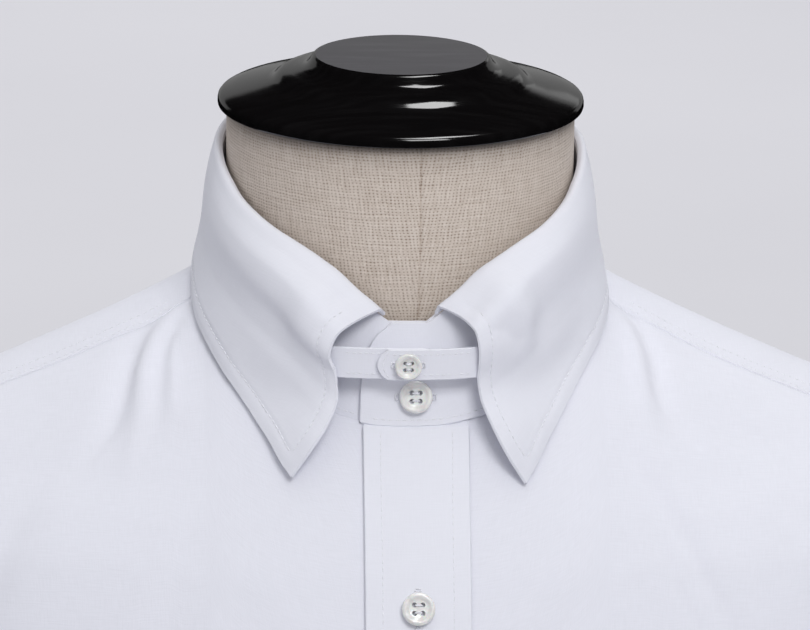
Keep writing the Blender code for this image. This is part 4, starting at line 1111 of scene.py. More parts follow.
def cuff_grid():
    turns = np.linspace(*CUFF_ENDS, 126)
    lap = through(CUFF_LAPS, turns)[:, 0]
    turns = np.radians(turns)
    top = -SLEEVE[-1][1] - SEAM_GAP
    x = CUFF_MIDDLE_X + (CUFF_HALF_WIDTH + lap) * np.cos(turns)
    y = -(CUFF_HALF_DEPTH + lap) * np.sin(turns)
    grid = np.stack([np.stack([x, y, np.full_like(x, top - row)], -1) for row in CUFF_ROWS])
    return grid, unit((grid - np.array([CUFF_MIDDLE_X, 0.0, 0.0])) * CUFF_SQUEEZE)


for word, side in (("right", -1), ("left", 1)):
    name = f"sleeve_{word}_cloth"
    grid, middle = sleeve_tube(side)
    wrapped = np.concatenate([grid[:, -1:], grid, grid[:, :1]], axis=1)
    out = grid_normal(wrapped, wrapped - mirrored(middle, side))[:, 1:-1]
    keep(name, grid, out, BODY_THICK, closed=True)
    piece = cloth(name, grid, out, BODY_THICK, SHIRT_CLOTH, closed=True)
    stand_in(piece, f"sleeve_{word}")
    name = f"cuff_{word}_band"
    grid, out = (mirrored(part, side) for part in cuff_grid())
    keep(name, grid, out, CUFF_THICK)
    piece = cloth(name, grid, out, CUFF_THICK, COLLAR_CLOTH)
    stand_in(piece, f"cuff_{word}")

# %% [markdown]
# ## The collar stand
# The stand is the band that holds the collar up round the neck. Its front ends are rounded and
# lap over each other under the top button. Its top edge follows the fold line of the collar,
# and its lower edge the neckline.

# %% Drawing the stand
# angle from the centre front, distance from the axis, drop
FOLD = [
    (6.0, 66.2, 57.5), (10.0, 66.3, 53.6), (14.0, 66.2, 50.0), (20.6, 65.8, 44.0),
    (28.0, 65.4, 38.4), (35.0, 65.0, 35.0), (42.0, 64.6, 32.4), (53.0, 63.8, 28.2),
    (62.0, 63.0, 25.0), (70.0, 62.4, 21.5), (90.0, 62.0, 15.0), (135.0, 62.0, 8.6),
    (180.0, 62.0, 7.0),
]
FOLD_RISE = 2.4
FOLD_IN = 1.2
STAND_LAP = 1.0
STAND_LAPS = [(-30.0, STAND_LAP), (20.0, STAND_LAP), (70.0, 0.0), (290.0, 0.0),
              (340.0, -STAND_LAP), (390.0, -STAND_LAP)]
STAND_END_X = -15.5
STAND_UNDER_X = 20.0
STAND_ROUNDING = 10.0
STAND_THICK = 1.4
STAND_ROWS = 16
STAND_COLUMNS = 260
STAND_TOP_RADIUS, STAND_WIDENS = 66.0, 8.5
# angles from the front, and the gap over the neck seam there
STAND_RAISED = ([0.0, 60.0], [0.35, 0.6])


def stand_lap(angle):
    """How far the stand lies out of its middle line, so that its ends lap."""
    return through(STAND_LAPS, angle)[..., 0]


def stand_top(angle):
    radius, drop = np.moveaxis(around(FOLD, angle), -1, 0)
    turn = np.radians(angle)
    reach = radius - FOLD_IN + stand_lap(angle)
    return np.stack([reach * np.sin(turn), -reach * np.cos(turn), -drop - FOLD_RISE], -1)


def stand_bottom(angle):
    turn, lap = np.radians(angle), stand_lap(angle)
    gap = np.interp(np.abs(half_turn(angle)), *STAND_RAISED)
    return neckline(angle) + np.stack([lap * np.sin(turn), -lap * np.cos(turn), gap], -1)


def stand_grid():
    """From the wearer's left end round the neck to the right end below it."""
    lines = []
    for share in np.linspace(0.0, 1.0, STAND_ROWS):
        rounding = STAND_ROUNDING * (1 - share) ** 3
        radius = STAND_TOP_RADIUS + STAND_WIDENS * share
        first = math.degrees(math.asin((STAND_END_X + rounding) / radius))
        last = 360.0 + math.degrees(math.asin((STAND_UNDER_X - rounding) / radius))
        angle = np.linspace(first, last, STAND_COLUMNS)
        top, bottom = stand_top(angle), stand_bottom(angle)
        lines.append(top + share * (bottom - top))
    return np.stack(lines)


def away_from_neck(grid):
    return unit(grid * np.array([1.0, 1.0, 0.0]))


grid = stand_grid()
out = grid_normal(grid, away_from_neck(grid))
keep("collar_stand_band", grid, out, STAND_THICK)
piece = cloth("collar_stand_band", grid, out, STAND_THICK, COLLAR_CLOTH)
stand_in(piece, "collar_stand")
print("stand", round(run_of(grid[-1])[-1]), "mm long")

# %% [markdown]
# ## The collar leaf
# The leaf is what most people call the collar. It rises over the fold at the top of the stand
# and falls to two long points, which the tab below pulls together: so the leaf rolls out near
# the fold, sinks in behind the tab, and flares again to its points. Four lines of measures
# hold that shape: the fold, given with the stand, the lower edge, the leading edges and the
# fall between them. A second table of soft swells and hollows adds what the tab's pull does.

# %% Drawing the leaf
# x, y, drop
LEAF_EDGE = [
    (38.5, -82.8, 108.6), (42.2, -78.8, 103.8), (45.4, -74.2, 98.9), (51.4, -66.4, 91.6),
    (57.3, -57.4, 84.6), (62.0, -48.2, 79.0), (66.4, -37.2, 72.9), (68.9, -27.8, 69.0),
    (70.2, -16.0, 65.0), (70.2, 0.0, 61.6), (68.6, 17.0, 59.2), (61.0, 38.0, 56.8),
    (43.0, 55.5, 55.6), (22.0, 65.0, 55.4), (0.0, 68.0, 55.4),
]
TIP_SKEW = 1.2
# share of the way, y, then x and drop for the right and the left side
LEADING_EDGE = [
    (0.00, -64.6, 8.0, 59.6, 9.0, 59.4), (0.06, -67.4, 10.0, 54.9, 10.4, 53.8),
    (0.16, -73.0, 17.4, 56.8, 17.6, 56.0), (0.26, -78.6, 23.8, 59.8, 21.8, 59.4),
    (0.38, -79.2, 26.2, 66.6, 22.9, 66.4), (0.50, -78.4, 24.4, 73.6, 22.9, 74.0),
    (0.62, -79.8, 24.1, 80.6, 24.0, 81.0), (0.75, -82.4, 26.7, 88.0, 27.0, 88.6),
    (0.88, -84.0, 31.6, 96.4, 31.9, 98.8), (1.00, -82.8, 38.5, 107.4, 38.5, 109.8),
]
# share down, share out
FALL = [(0.00, 0.00), (0.08, 0.17), (0.22, 0.35), (0.39, 0.50), (0.54, 0.57), (0.68, 0.68),
        (0.82, 0.87), (1.00, 1.00)]
FALL_SHARES = [0.0, 0.08, 0.20, 0.33, 0.47, 0.60, 0.73, 0.87, 1.0]
LEADING_REACH = 100.0
# angles from the front, and how far the inner edge rises and the fold sinks there
INNER_RAISED = ([5.0, 25.0], [1.7, 0.4])
CREST_LOWERED = ([10.0, 24.0], [0.0, 1.1])
LEAF_THICK = 1.4
LEAF_COLUMNS = 300
LEAF_END_SHARES = [0.0, 0.001, 0.003, 0.006, 0.009, 0.0115, 0.013, 0.0145, 0.017]


def leaf_edge_line():
    """Lower edge of the leaf from the right tip round the back to the left tip."""
    half = np.array([(x, y, -drop) for x, y, drop in LEAF_EDGE])
    reach = np.linalg.norm(half - half[0], axis=1)
    skew = TIP_SKEW * np.clip(1 - reach / 45.0, 0.0, 1.0) ** 2
    left, right = half.copy(), mirrored(half, -1)
    left[:, 2] -= skew
    left[:, 1] -= 0.7 * skew
    right[:, 2] += skew
    right[:, 1] += 0.7 * skew
    return smooth_line(np.vstack([right[:-1], left[::-1]]), 900)


def leading_edge(side):
    share, y, right_x, right_drop, left_x, left_drop = np.array(LEADING_EDGE).T
    x = left_x if side > 0 else -right_x
    return np.column_stack([x, y, -(left_drop if side > 0 else right_drop)])


def close_at_ends(count, dense):
    """Shares from 0 to 1 that lie closer together near both ends."""
    even = np.linspace(0.0, 1.0, count)
    even = even[(even > dense[-1]) & (even < 1 - dense[-1])]
    return np.sort(np.concatenate([even, dense, 1 - np.array(dense)]))


def leaf_rows():
    """Ten guide rows: the inner edge, the fold, and eight down to the lower edge."""
    corner = LEADING_EDGE[0]
    start, end = (math.degrees(math.atan2(corner[k], -corner[1])) for k in (2, 4))
    shares = close_at_ends(LEAF_COLUMNS, LEAF_END_SHARES)
    angles = -start + shares * (end - 360.0 + start)
    radius, drop = np.moveaxis(around(FOLD, angles), -1, 0)
    radius = radius + stand_lap(angles % 360.0)
    turn = np.radians(angles)
    crest = np.stack([radius * np.sin(turn), -radius * np.cos(turn), -drop], -1)
    inner = stand_top(angles % 360.0)
    from_front = np.abs(half_turn(angles))
    inner[:, 2] += np.interp(from_front, *INNER_RAISED)
    crest[:, 2] -= np.interp(from_front, *CREST_LOWERED)
    edge = along(leaf_edge_line(), shares)
    rows = [inner]
    for down in FALL_SHARES:
        out = float(through(FALL, down)[0])
        point = crest + down * (edge - crest)
        point[:, :2] = crest[:, :2] + out * (edge - crest)[:, :2]
        rows.append(point)
    grid = np.stack(rows)
    run = run_of(crest)
    for side, distance, column in ((-1, run, 0), (1, run[-1] - run, -1)):
        fade = np.clip(1 - distance / LEADING_REACH, 0.0, 1.0) ** 1.5
        bend = leading_edge(side) - grid[:, column]
        bend[0] = 0.0
        grid = grid + fade[None, :, None] * bend[:, None]
    return grid


def finer_rows(grid, shares):
    """More rows between the guide rows, on a smooth curve down each column."""
    columns = []
    for column in grid.swapaxes(0, 1):
        run = run_of(column)
        columns.append(through(np.column_stack([run / run[-1], column]), shares))
    return np.stack(columns, axis=1)


LEAF_SHARES = np.concatenate([
    np.linspace(0.0, 0.22, 22)[:-1], np.linspace(0.22, 0.86, 44)[:-1],
    [0.86, 0.875, 0.89, 0.90, 0.907, 0.914, 0.921, 0.93, 0.945, 0.96, 0.975, 0.985, 0.993, 1.0]])
# path as x and drop; width on its left and right in the picture; rise
LEAF_CREASES = [
    ([(24.5, 43.0), (30.0, 46.5), (34.6, 51.5), (37.2, 57.5), (36.8, 63.5), (31.5, 68.0),
      (24.5, 70.5)], 8.5, 6.0, 3.2),
    ([(12.6, 51.0), (15.1, 51.6), (20.2, 53.4), (27.0, 55.8)], 1.2, 1.2, -0.32),
    ([(22.0, 78.0), (32.0, 80.0), (43.0, 80.0), (55.0, 75.0), (63.0, 66.0)], 11.0, 9.0, -3.2),
    ([(-19.7, 50.3), (-22.9, 50.4), (-26.4, 51.7), (-30.0, 54.8)], 1.3, 1.1, -0.30),
    ([(-24.0, 43.0), (-30.0, 48.0), (-34.0, 54.0), (-35.0, 60.0), (-31.0, 65.0), (-25.0, 68.0)],
      6.5, 8.0, 1.8),
    ([(-21.0, 79.0), (-29.0, 82.0), (-38.0, 84.0), (-48.0, 82.0), (-57.0, 75.0)], 9.0, 12.0, -2.6),
]
# distance from the edge, width, rise
LEAF_BORDER = [(2.7, 1.5, 0.20), (5.0, 0.60, -0.14), (6.6, 1.1, 0.06)]
# the share of the rows where the border begins, and over which it grows
BORDER_FROM, BORDER_GROWS = 0.22, 0.10


def edge_distances(grid):
    """Distance of each point from the lower edge and from the nearer leading edge."""
    down = np.array([run_of(column) for column in grid.swapaxes(0, 1)]).T
    across = np.array([run_of(row) for row in grid])
    return down[-1] - down, np.minimum(across, across[:, -1:] - across)


def front_lines(table, grid):
    """Crease paths put on a free piece, by its nearest front points."""
    spots = grid[grid[..., 1] < -20.0]

    def nearest_y(x, drop):
        return spots[np.hypot(spots[:, 0] - x, spots[:, 2] + drop).argmin(), 1]

    return crease_lines(table, nearest_y)


def border_height(grid):
    """The padded border outside the topstitching, and the groove the stitches pull."""
    inside = np.minimum(*edge_distances(grid))
    height = sum(rise * np.exp(-(((inside - middle) / width) ** 2))
                 for middle, width, rise in LEAF_BORDER)
    down = np.linspace(0.0, 1.0, len(grid))[:, None]
    return height * np.clip((down - BORDER_FROM) / BORDER_GROWS, 0.0, 1.0)


grid = finer_rows(leaf_rows(), LEAF_SHARES)
out = grid_normal(grid, away_from_neck(grid))
creases = crease_height(grid, out, front_lines(LEAF_CREASES, grid))
height = creases + border_height(grid) + soft_ripple(grid, 0.04)
grid = grid + out * height[..., None]
out = grid_normal(grid, away_from_neck(grid))
keep("collar_leaf_cloth", grid, out, LEAF_THICK)
piece = cloth("collar_leaf_cloth", grid, out, LEAF_THICK, COLLAR_CLOTH)
stand_in(piece, "collar_leaf")
print("leaf", round(run_of(grid[-1])[-1]), "mm along its lower edge")

# %% [markdown]
# ## The tabs
# Two short tabs are sewn under the collar points and button together in front of the stand.
# They are what gives this collar its name and its roll. The left one laps over the right one.

# %% Drawing the tabs
# x and y along the right tab, from under the leaf to its buttoned end
TAB_PATH = [(-29.0, -72.8), (-25.0, -75.6), (-12.0, -77.8), (0.0, -78.4), (10.0, -78.2)]
TAB_XS = np.concatenate([np.linspace(-29.0, 6.0, 34)[:-1],
                         [6, 7, 7.8, 8.4, 8.9, 9.3, 9.65, 9.85, 10.0]])
TAB_SHARES = [0.0, 0.02, 0.06, 0.12, 0.16, 0.2, 0.35, 0.5, 0.65, 0.8, 0.84, 0.88, 0.94, 0.98, 1.0]
TAB_TOP_DROP = 65.0
TAB_WIDTH = 10.0
TAB_CLOSING_X = -0.5
TAB_ROUNDING = 3.2
TAB_ROUNDED_FROM_X, TAB_ROUNDED_OVER = 2.0, 8.0
TAB_LIFTS_OVER = (-27.0, -13.0)
TAB_THICK = 0.9
TAB_WALL = 1.0


def tab_grid(side, lift):
    at_end = np.clip((TAB_XS - TAB_ROUNDED_FROM_X) / TAB_ROUNDED_OVER, 0.0, 1.0)
    rows = []
    for share in TAB_SHARES:
        x = TAB_XS - TAB_ROUNDING * abs(2 * share - 1) ** 2.2 * at_end**2
        y = through(TAB_PATH, x)[:, 0] - np.interp(TAB_XS, TAB_LIFTS_OVER, [0.0, lift])
        z = np.full_like(x, -TAB_TOP_DROP - share * TAB_WIDTH)
        rows.append(np.stack([TAB_CLOSING_X - side * x, y, z], -1))
    return np.stack(rows)


for word, side, lift in (("left", 1, TAB_WALL + LAYER_GAP), ("right", -1, 0.0)):
    name = f"tab_{word}_cloth"
    grid = tab_grid(side, lift)
    out = grid_normal(grid, np.broadcast_to((0.0, -1.0, 0.0), grid.shape))
    keep(name, grid, out, TAB_THICK)
    piece = cloth(name, grid, out, TAB_THICK, COLLAR_CLOTH)
    stand_in(piece, f"tab_{word}")

# %% [markdown]
# ## Topstitching
# Now the seams are sewn. On the collar the stitches run 5 mm inside the edges and turn at the
# points. The yoke has two close rows, the placket a row beside each edge, and the stand, the
# tabs, the cuffs, the hems and the armholes one row each.

# %% Sewing the shirt
COLLAR_INSET = 5.0


def leaf_stitches():
    """One line down a leading edge, along the lower edge and up the other leading edge."""
    sheet = OUTSIDE["collar_leaf_cloth"]
    low, lead = edge_distances(sheet[..., :3])
    turn_in = COLLAR_INSET * 1.1
    lower = inset(sheet, "bottom", COLLAR_INSET)
    from_ends = [np.interp(COLLAR_INSET, a, b) for a, b in zip(low[::-1].T, lead[::-1].T)]
    lines = [lower[np.array(from_ends) > turn_in]]
    top, middle = len(sheet) // 4, lead.shape[1] // 2
    for edge, columns in (("left", slice(None, middle)), ("right", slice(None, middle - 1, -1))):
        line = inset(sheet, edge, COLLAR_INSET)
        above = [np.interp(COLLAR_INSET, a, b) for a, b in zip(lead[:, columns], low[:, columns])]
        lines.append(line[(np.array(above) > turn_in) & (np.arange(len(line)) > top)])
    return lines


def raised(line, height):
    lifted = line.copy()
    lifted[:, :3] += line[:, 3:] * height
    return lifted


def insets(name, edges, distance, cut):
    """Stitch lines inside several edges of a piece, without their first and last points."""
    return [inset(OUTSIDE[name], edge, distance)[cut] for edge in edges]


sew("collar_topstitch", [raised(line, 0.05) for line in leaf_stitches()], 2.3, 0.22)
sew("stand_topstitch", insets("collar_stand_band", ["bottom"], 1.8, slice(2, -2)), 2.4, 0.19)
lines = []
for name in ("tab_left_cloth", "tab_right_cloth"):
    lines += insets(name, ["top"], 1.5, slice(8, -8))
    lines += insets(name, ["right"], 1.6, slice(2, -2))
    lines += insets(name, ["bottom"], 1.5, slice(8, -8))
sew("tab_topstitch", lines, 2.0)
lines = []
back_seam = slice(YOKE_ARM_POINTS + 2, -YOKE_ARM_POINTS - 2)
for distance in (1.6, 6.0):
    lines += insets("yoke_cloth", ["left", "right"], distance, slice(3, -2))
    lines += insets("yoke_cloth", ["bottom"], distance, back_seam)
sew("yoke_topstitch", lines)
sew("placket_topstitch", insets("placket_band", ["left", "right"], 5.5, slice(2, -1)))
lines, arm_lines = [], []
for name, edges in (("front_right_cloth", ["right"]), ("front_left_cloth", ["right"]),
                    ("back_cloth", ["left", "right"])):
    lines += insets(name, ["bottom"], 6.0, slice(1, -1))
    for edge in edges:
        arm_lines.append(inset(OUTSIDE[name][:ROWS_ABOVE + 1], edge, 7.0)[2:-3])
sew("hem_topstitch", lines, 2.8)
sew("armhole_topstitch", arm_lines, 2.6)
lines = []
for name in ("cuff_right_band", "cuff_left_band"):
    lines += insets(name, ["top", "bottom"], 4.8, slice(3, -3))
    lines += insets(name, ["left", "right"], 4.8, slice(4, -4))
sew("cuff_topstitch", lines, 2.5, 0.19)

# %% [markdown]
# ## Buttons and buttonholes
# A shirt button is a turned disc with a raised rim and four holes, held by two bars of thread.
# The disc is turned from a profile and the holes are really cut, with a boolean, so light and
# shadow fall into them. Each button is made in its own place, standing on the cloth.

# %% Making a button
# share of the radius, share of the thickness
BUTTON_PROFILE = [(0.0, 0.62), (0.52, 0.62), (0.62, 0.68), (0.72, 0.92), (0.80, 1.0),
                  (0.90, 0.97), (0.98, 0.80), (1.0, 0.60), (0.96, 0.30), (0.84, 0.04),
                  (0.70, 0.0), (0.0, 0.0)]
BUTTON_SIDES = 48
HOLE_SIDES = 14
HOLE_RADIUS = 0.15
HOLE_SPREAD = 0.25
# radius, thickness
SHIRT_BUTTON, TAB_BUTTON = (5.5, 2.6), (4.5, 2.3)


def lathe_mesh(profile, sides):
    """Points and faces of a shape turned on the upright axis, top to bottom."""
    turns = np.linspace(0.0, 2 * math.pi, sides, endpoint=False)
    points, rings, faces = [], [], []
    for radius, height in profile:
        if radius == 0:
            rings.append([len(points)])
            points.append((0.0, 0.0, height))
            continue
        rings.append(list(range(len(points), len(points) + sides)))
        points += [(radius * math.cos(turn), radius * math.sin(turn), height) for turn in turns]
    for upper, lower in zip(rings, rings[1:]):
        for n in range(sides):
            m = (n + 1) % sides
            ways = (upper, n), (lower, n), (lower, m), (upper, m)
            corners = [ring[k % len(ring)] for ring, k in ways]
            faces.append(tuple(dict.fromkeys(corners)))
    return np.array(points), faces


def plain_object(name, points, faces):
    mesh = bpy.data.meshes.new(name)
    mesh.from_pydata([tuple(p) for p in points], [], faces)
    made = bpy.data.objects.new(name, mesh)
    bpy.context.scene.collection.objects.link(made)
    return made


def pierced_button(radius, thickness):
    """Points and faces of a button with four holes, in millimetres."""
    profile = [(share * radius, height * thickness) for share, height in BUTTON_PROFILE]
    disc = plain_object("button_blank", *lathe_mesh(profile, BUTTON_SIDES))
    hole, spread = HOLE_RADIUS * radius, HOLE_SPREAD * radius
    drill = [(0.0, 2 * thickness), (hole, 2 * thickness), (hole, -thickness), (0.0, -thickness)]
    pin, pin_faces = lathe_mesh(drill, HOLE_SIDES)
    pins, faces = [], []
    for x, y in ((1, 1), (1, -1), (-1, 1), (-1, -1)):
        faces += [tuple(corner + len(pins) * len(pin) for corner in face) for face in pin_faces]
        pins.append(pin + np.array([x * spread, y * spread, 0.0]))
    drills = plain_object("button_drill", np.concatenate(pins), faces)
    cut = disc.modifiers.new("holes", "BOOLEAN")
    cut.object, cut.solver = drills, "EXACT"
    bpy.context.view_layer.update()
    pierced = disc.evaluated_get(bpy.context.evaluated_depsgraph_get())
    ready = bpy.data.meshes.new_from_object(pierced)
    points = np.array([vertex.co[:] for vertex in ready.vertices])
    faces = [tuple(face.vertices) for face in ready.polygons]
    for old in (disc, drills):
        bpy.data.objects.remove(old, do_unlink=True)
    return points, faces


def seat_axes(axis):
    """Two directions in the plane of a button, the second one up the cloth."""
    across = unit(np.cross((0.0, 0.0, 1.0), axis))
    return across, unit(np.cross(axis, across))


def place(points, seat, axis):
    across, up = seat_axes(axis)
    return seat + points[:, :1] * across + points[:, 1:2] * up + points[:, 2:] * axis


BLANKS = {size: pierced_button(*size) for size in (SHIRT_BUTTON, TAB_BUTTON)}
# how high the thread lies, as a share of the button's thickness
THREAD_LEVEL = 0.66
HOLE_STITCH_STEP = 0.55


def bar(middle, way, half, out):
    """One strand of thread as a line of two points, with their direction out."""
    return np.concatenate([[middle - way * half, middle + way * half], [out, out]], -1)


def fasten(node_name, seat, axis, size, hole_way, hole_length):
    """A button, the thread through its holes and the buttonhole it closes."""
    seat, axis = np.asarray(seat, float), unit(np.asarray(axis, float))
    points, faces = BLANKS[size]
    disc = place(points, seat, axis)
    made = link_mesh(node_name + "_disc", disc, faces, BUTTON_PLASTIC, sharp=38.0)
    stand_in(made, node_name)
    across, up = seat_axes(axis)
    spread, top = HOLE_SPREAD * size[0], seat + axis * THREAD_LEVEL * size[1]
    bars = []
    for beside in (up, -up):
        bars.append(bar(top + beside * spread, across, spread * 1.1, axis))
        bars.append(raised(bars[-1], 0.25) + np.concatenate([beside * -0.28, 0 * axis]))
    along_hole, beside_hole = (up, across) if hole_way == "down" else (across, up)
    half = hole_length / 2
    for edge in (-1, 1):
        for step in np.arange(-half, half + 0.01, HOLE_STITCH_STEP):
            middle = seat - axis * 0.32 + along_hole * step + beside_hole * edge * 0.85
            bars.append(bar(middle, beside_hole, 0.55, axis))
    for end in (-1, 1):
        middle = seat - axis * 0.28 + along_hole * end * (half + 0.3)
        bars.append(bar(middle, beside_hole, 1.3, axis))
    sew(node_name + "_thread", bars, 9.0, 0.24)


# %% [markdown]
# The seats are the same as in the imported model: seven buttons 84 mm apart down the placket, one
# on the stand, one on the tab and one on each cuff.

# %% Sewing the buttons on
BUTTON_LINE_X = 2.5
FIRST_BUTTON_DROP = 146.0
BUTTON_SPACING = 84.0
HOLE_LENGTH, TAB_HOLE_LENGTH = 13.0, 10.5
COLLAR_BUTTON_UP = 0.28
NECK_FRONT_RADIUS = NECKLINE[0][1]
BAND_WALL = 1.6
CUFF_BUTTON_TURN = math.radians(-143.0)
CUFF_BUTTON_DROP = 707.3
CUFF_OUT = 1.0

for i in range(7):
    drop = FIRST_BUTTON_DROP + BUTTON_SPACING * i
    y = np.interp(drop, -PLACKET_LINE[:, 2], PLACKET_LINE[:, 1])
    spot = np.array([BUTTON_LINE_X, y, -drop])
    axis = torso_normal(spot)
    seat = spot + axis * (WALL / 2 + LAYER_GAP)
    fasten(f"front_button_{i + 1}", seat, axis, SHIRT_BUTTON, "down", HOLE_LENGTH)
angle = math.degrees(math.asin(BUTTON_LINE_X / NECK_FRONT_RADIUS))
top, bottom = stand_top(angle), stand_bottom(angle)
axis = unit(np.cross(unit(top - bottom), (-1.0, 0.0, 0.0)))
axis = axis if axis[1] < 0 else -axis
seat = bottom + COLLAR_BUTTON_UP * (top - bottom) + axis * (BAND_WALL / 2 + LAYER_GAP)
fasten("collar_button", seat, axis, SHIRT_BUTTON, "across", HOLE_LENGTH)
tab_y = float(through(TAB_PATH, 0.0)[0]) - (TAB_WALL + LAYER_GAP) - TAB_WALL / 2 - LAYER_GAP
seat = (TAB_CLOSING_X, tab_y, -TAB_TOP_DROP - TAB_WIDTH / 2)
fasten("tab_button", seat, (0.0, -1.0, 0.0), TAB_BUTTON, "across", TAB_HOLE_LENGTH)
for word, side in (("right", -1), ("left", 1)):
    away = np.array([(CUFF_HALF_WIDTH + CUFF_OUT) * math.cos(CUFF_BUTTON_TURN),
                     -(CUFF_HALF_DEPTH + CUFF_OUT) * math.sin(CUFF_BUTTON_TURN), 0.0])
    spot = mirrored(away + np.array([CUFF_MIDDLE_X, 0.0, -CUFF_BUTTON_DROP]), side)
    axis = mirrored(unit(away * CUFF_SQUEEZE), side)
    seat = spot + axis * (BAND_WALL / 2 + LAYER_GAP)
    fasten(f"cuff_button_{word}", seat, axis, SHIRT_BUTTON, "across", HOLE_LENGTH)

# %% [markdown]
# ## The dress form
# Under the shirt stands a padded torso covered in linen. Its neck is round and grows into the
# shoulders. The linen is stretched smooth, with one upright seam near the centre front, which
# is a shallow groove here because it shows above the collar.

# %% The linen body
NECK_RADIUS = 59.0
FORM_LOWERED = 1.6
FORM_BOTTOM_DROP = 700.0
FORM_ROUNDING = np.array([0.93, 0.90, 1.0])
BOTTOM_BULGE = np.array([0.0, 0.0, -3.0])
FORM_INSET_SIDE = [(140.0, 1.0), (225.0, 7.0)]
FORM_INSET_FRONT = 4.5
FORM_SIDES = 160
NECK_DROPS = np.concatenate([[2.1], np.linspace(4.0, 56.0, 30)])
BODY_DROPS = np.concatenate([[61.0, 66.5], np.linspace(73.0, 160.0, 40),
                             np.linspace(164.0, 690.0, 60)])
SEAM_TURN = math.degrees(math.asin(LINEN_SEAM_U / NECK_RADIUS))
# degrees beside the seam where the groove needs points of its own
SEAM_SIDES = [0.25, 0.5, 0.8, 1.2, 1.6, 2.2, 3.0]
SEAM_CLEAR = 3.4


def form_ring(drop, turns):
    s, c = np.sin(turns), np.cos(turns)
    half_width, middle, front, back, roundness = section(max(drop - FORM_LOWERED, TORSO[0][0]))
    half_width = max(NECK_RADIUS, half_width - float(through(FORM_INSET_SIDE, drop)[0]))
    reach_front = max(NECK_RADIUS, front - middle - FORM_INSET_FRONT)
    reach_back = max(NECK_RADIUS - 1.0, back + middle - FORM_INSET_FRONT)
    if drop <= NECK_DROPS[-1]:
        half_width = reach_front = reach_back = NECK_RADIUS
        middle, roundness = 0.0, 2.0
    x = half_width * np.sign(s) * np.abs(s) ** (2 / roundness)
    reach = np.where(c > 0, reach_front + middle, reach_back - middle)
    y = middle - reach * np.sign(c) * np.abs(c) ** (2 / roundness)
    return np.stack([x, y, np.full_like(x, -drop)], -1)


def seam_groove(turns):
    beside = half_turn(np.degrees(turns) - SEAM_TURN)
    lips = 0.12 * np.exp(-(((np.abs(beside) - 1.3) / 0.6) ** 2))
    return lips - 0.35 * np.exp(-((beside / 0.45) ** 2))


close = SEAM_TURN + np.array([-value for value in SEAM_SIDES] + [0.0] + SEAM_SIDES)
even = np.linspace(0.0, 360.0, FORM_SIDES, endpoint=False)
turns = np.concatenate([even[np.abs(even - SEAM_TURN) > SEAM_CLEAR], close])
turns = np.radians(np.sort(half_turn(turns)))
rings = [form_ring(drop, turns) for drop in np.concatenate([NECK_DROPS, BODY_DROPS])]
last = rings[-1] * FORM_ROUNDING
last[:, 2] = -FORM_BOTTOM_DROP
grid = np.stack(rings + [0.5 * (rings[-1] + last) + BOTTOM_BULGE, last])
grid = grid + away_from_neck(grid) * seam_groove(turns)[None, :, None]
rows, sides = grid.shape[:2]
faces = [tuple(range(sides))[::-1], tuple(range((rows - 1) * sides, rows * sides))]
for j in range(0, (rows - 1) * sides, sides):
    for i in range(sides):
        k = (i + 1) % sides
        faces.append((j + i, j + sides + i, j + sides + k, j + k))
way_round = np.full((rows, sides), 2 * math.pi * NECK_RADIUS)
flat = np.stack([np.broadcast_to(turns * NECK_RADIUS, (rows, sides)), grid[..., 2], way_round], -1)
linen = link_mesh("linen_form", grid.reshape(-1, 3), faces, LINEN_CLOTH, flat.reshape(-1, 3), 60.0)
stand_in(linen, "form_body")
print("form", rows, "by", sides, "points")

# %% [markdown]
# ## The neck cap, the pole and the base
# All three are turned shapes. The cap is a flat disc on two stepped rings, with a rim that
# hangs a little over the neck. A lathe profile with a few more points than the solid has is
# enough to round its edges, and the edges are where gloss lacquer shows its highlights.

# %% Turning the cap, the pole and the base
# radius, height over the cap's rim
CAP_PROFILE = [
    (0.0, 15.5), (29.0, 15.5), (29.7, 15.3), (30.2, 14.8), (30.9, 13.7), (31.8, 12.4),
    (32.8, 11.5), (34.2, 10.95), (37.5, 10.35), (40.0, 9.9), (41.2, 9.4), (42.2, 8.6),
    (43.1, 7.7), (44.0, 7.0), (45.6, 6.5), (50.0, 5.35), (56.0, 3.75), (60.4, 2.45),
    (61.3, 1.95), (61.8, 1.3), (62.0, 0.4), (62.0, -0.8), (61.8, -1.4), (61.3, -1.8),
    (0.0, -1.8),
]
SATIN_FROM = 15.45
FLOOR = -CAP_RIM_HEIGHT
POLE_PROFILE = [
    (0.0, -700.3), (29.4, -700.3), (30.0, -700.9), (30.0, -703.6), (29.4, -704.3),
    (20.0, -705.4), (13.6, -707.4), (12.5, -709.5), (12.5, FLOOR + 29.0), (13.6, FLOOR + 25.5),
    (16.5, FLOOR + 22.5), (20.0, FLOOR + 20.3), (0.0, FLOOR + 20.3),
]
# radius, height over the floor
BASE_PROFILE = [
    (0.0, 20.0), (80.0, 20.0), (84.0, 19.6), (110.0, 17.1), (138.0, 13.4), (143.5, 12.1),
    (147.5, 9.9), (149.6, 7.4), (150.0, 5.5), (150.0, 2.0), (149.4, 0.6), (148.0, 0.0), (0.0, 0.0),
]


def turned(name, profile, sides, material, node_name):
    points, faces = lathe_mesh(profile, sides)
    return stand_in(link_mesh(name, points, faces, material, sharp=42.0), node_name)


cap = turned("lacquered_cap", CAP_PROFILE, 192, GLOSS_BLACK, "neck_cap")
cap.data.materials.append(SATIN_GREY_PAINTED_SHEEN)
for face in cap.data.polygons:
    if face.center.z > (CAP_RIM_HEIGHT + SATIN_FROM) * MM:
        face.material_index = 1
turned("steel_pole", POLE_PROFILE, 64, PAINTED_STEEL, "stand_pole")
base = [(radius, FLOOR + height) for radius, height in BASE_PROFILE]
turned("round_base", base, 160, GLOSS_BLACK, "stand_base")
print("cap top at", round(max(vertex.co.z for vertex in cap.data.vertices), 4), "m")
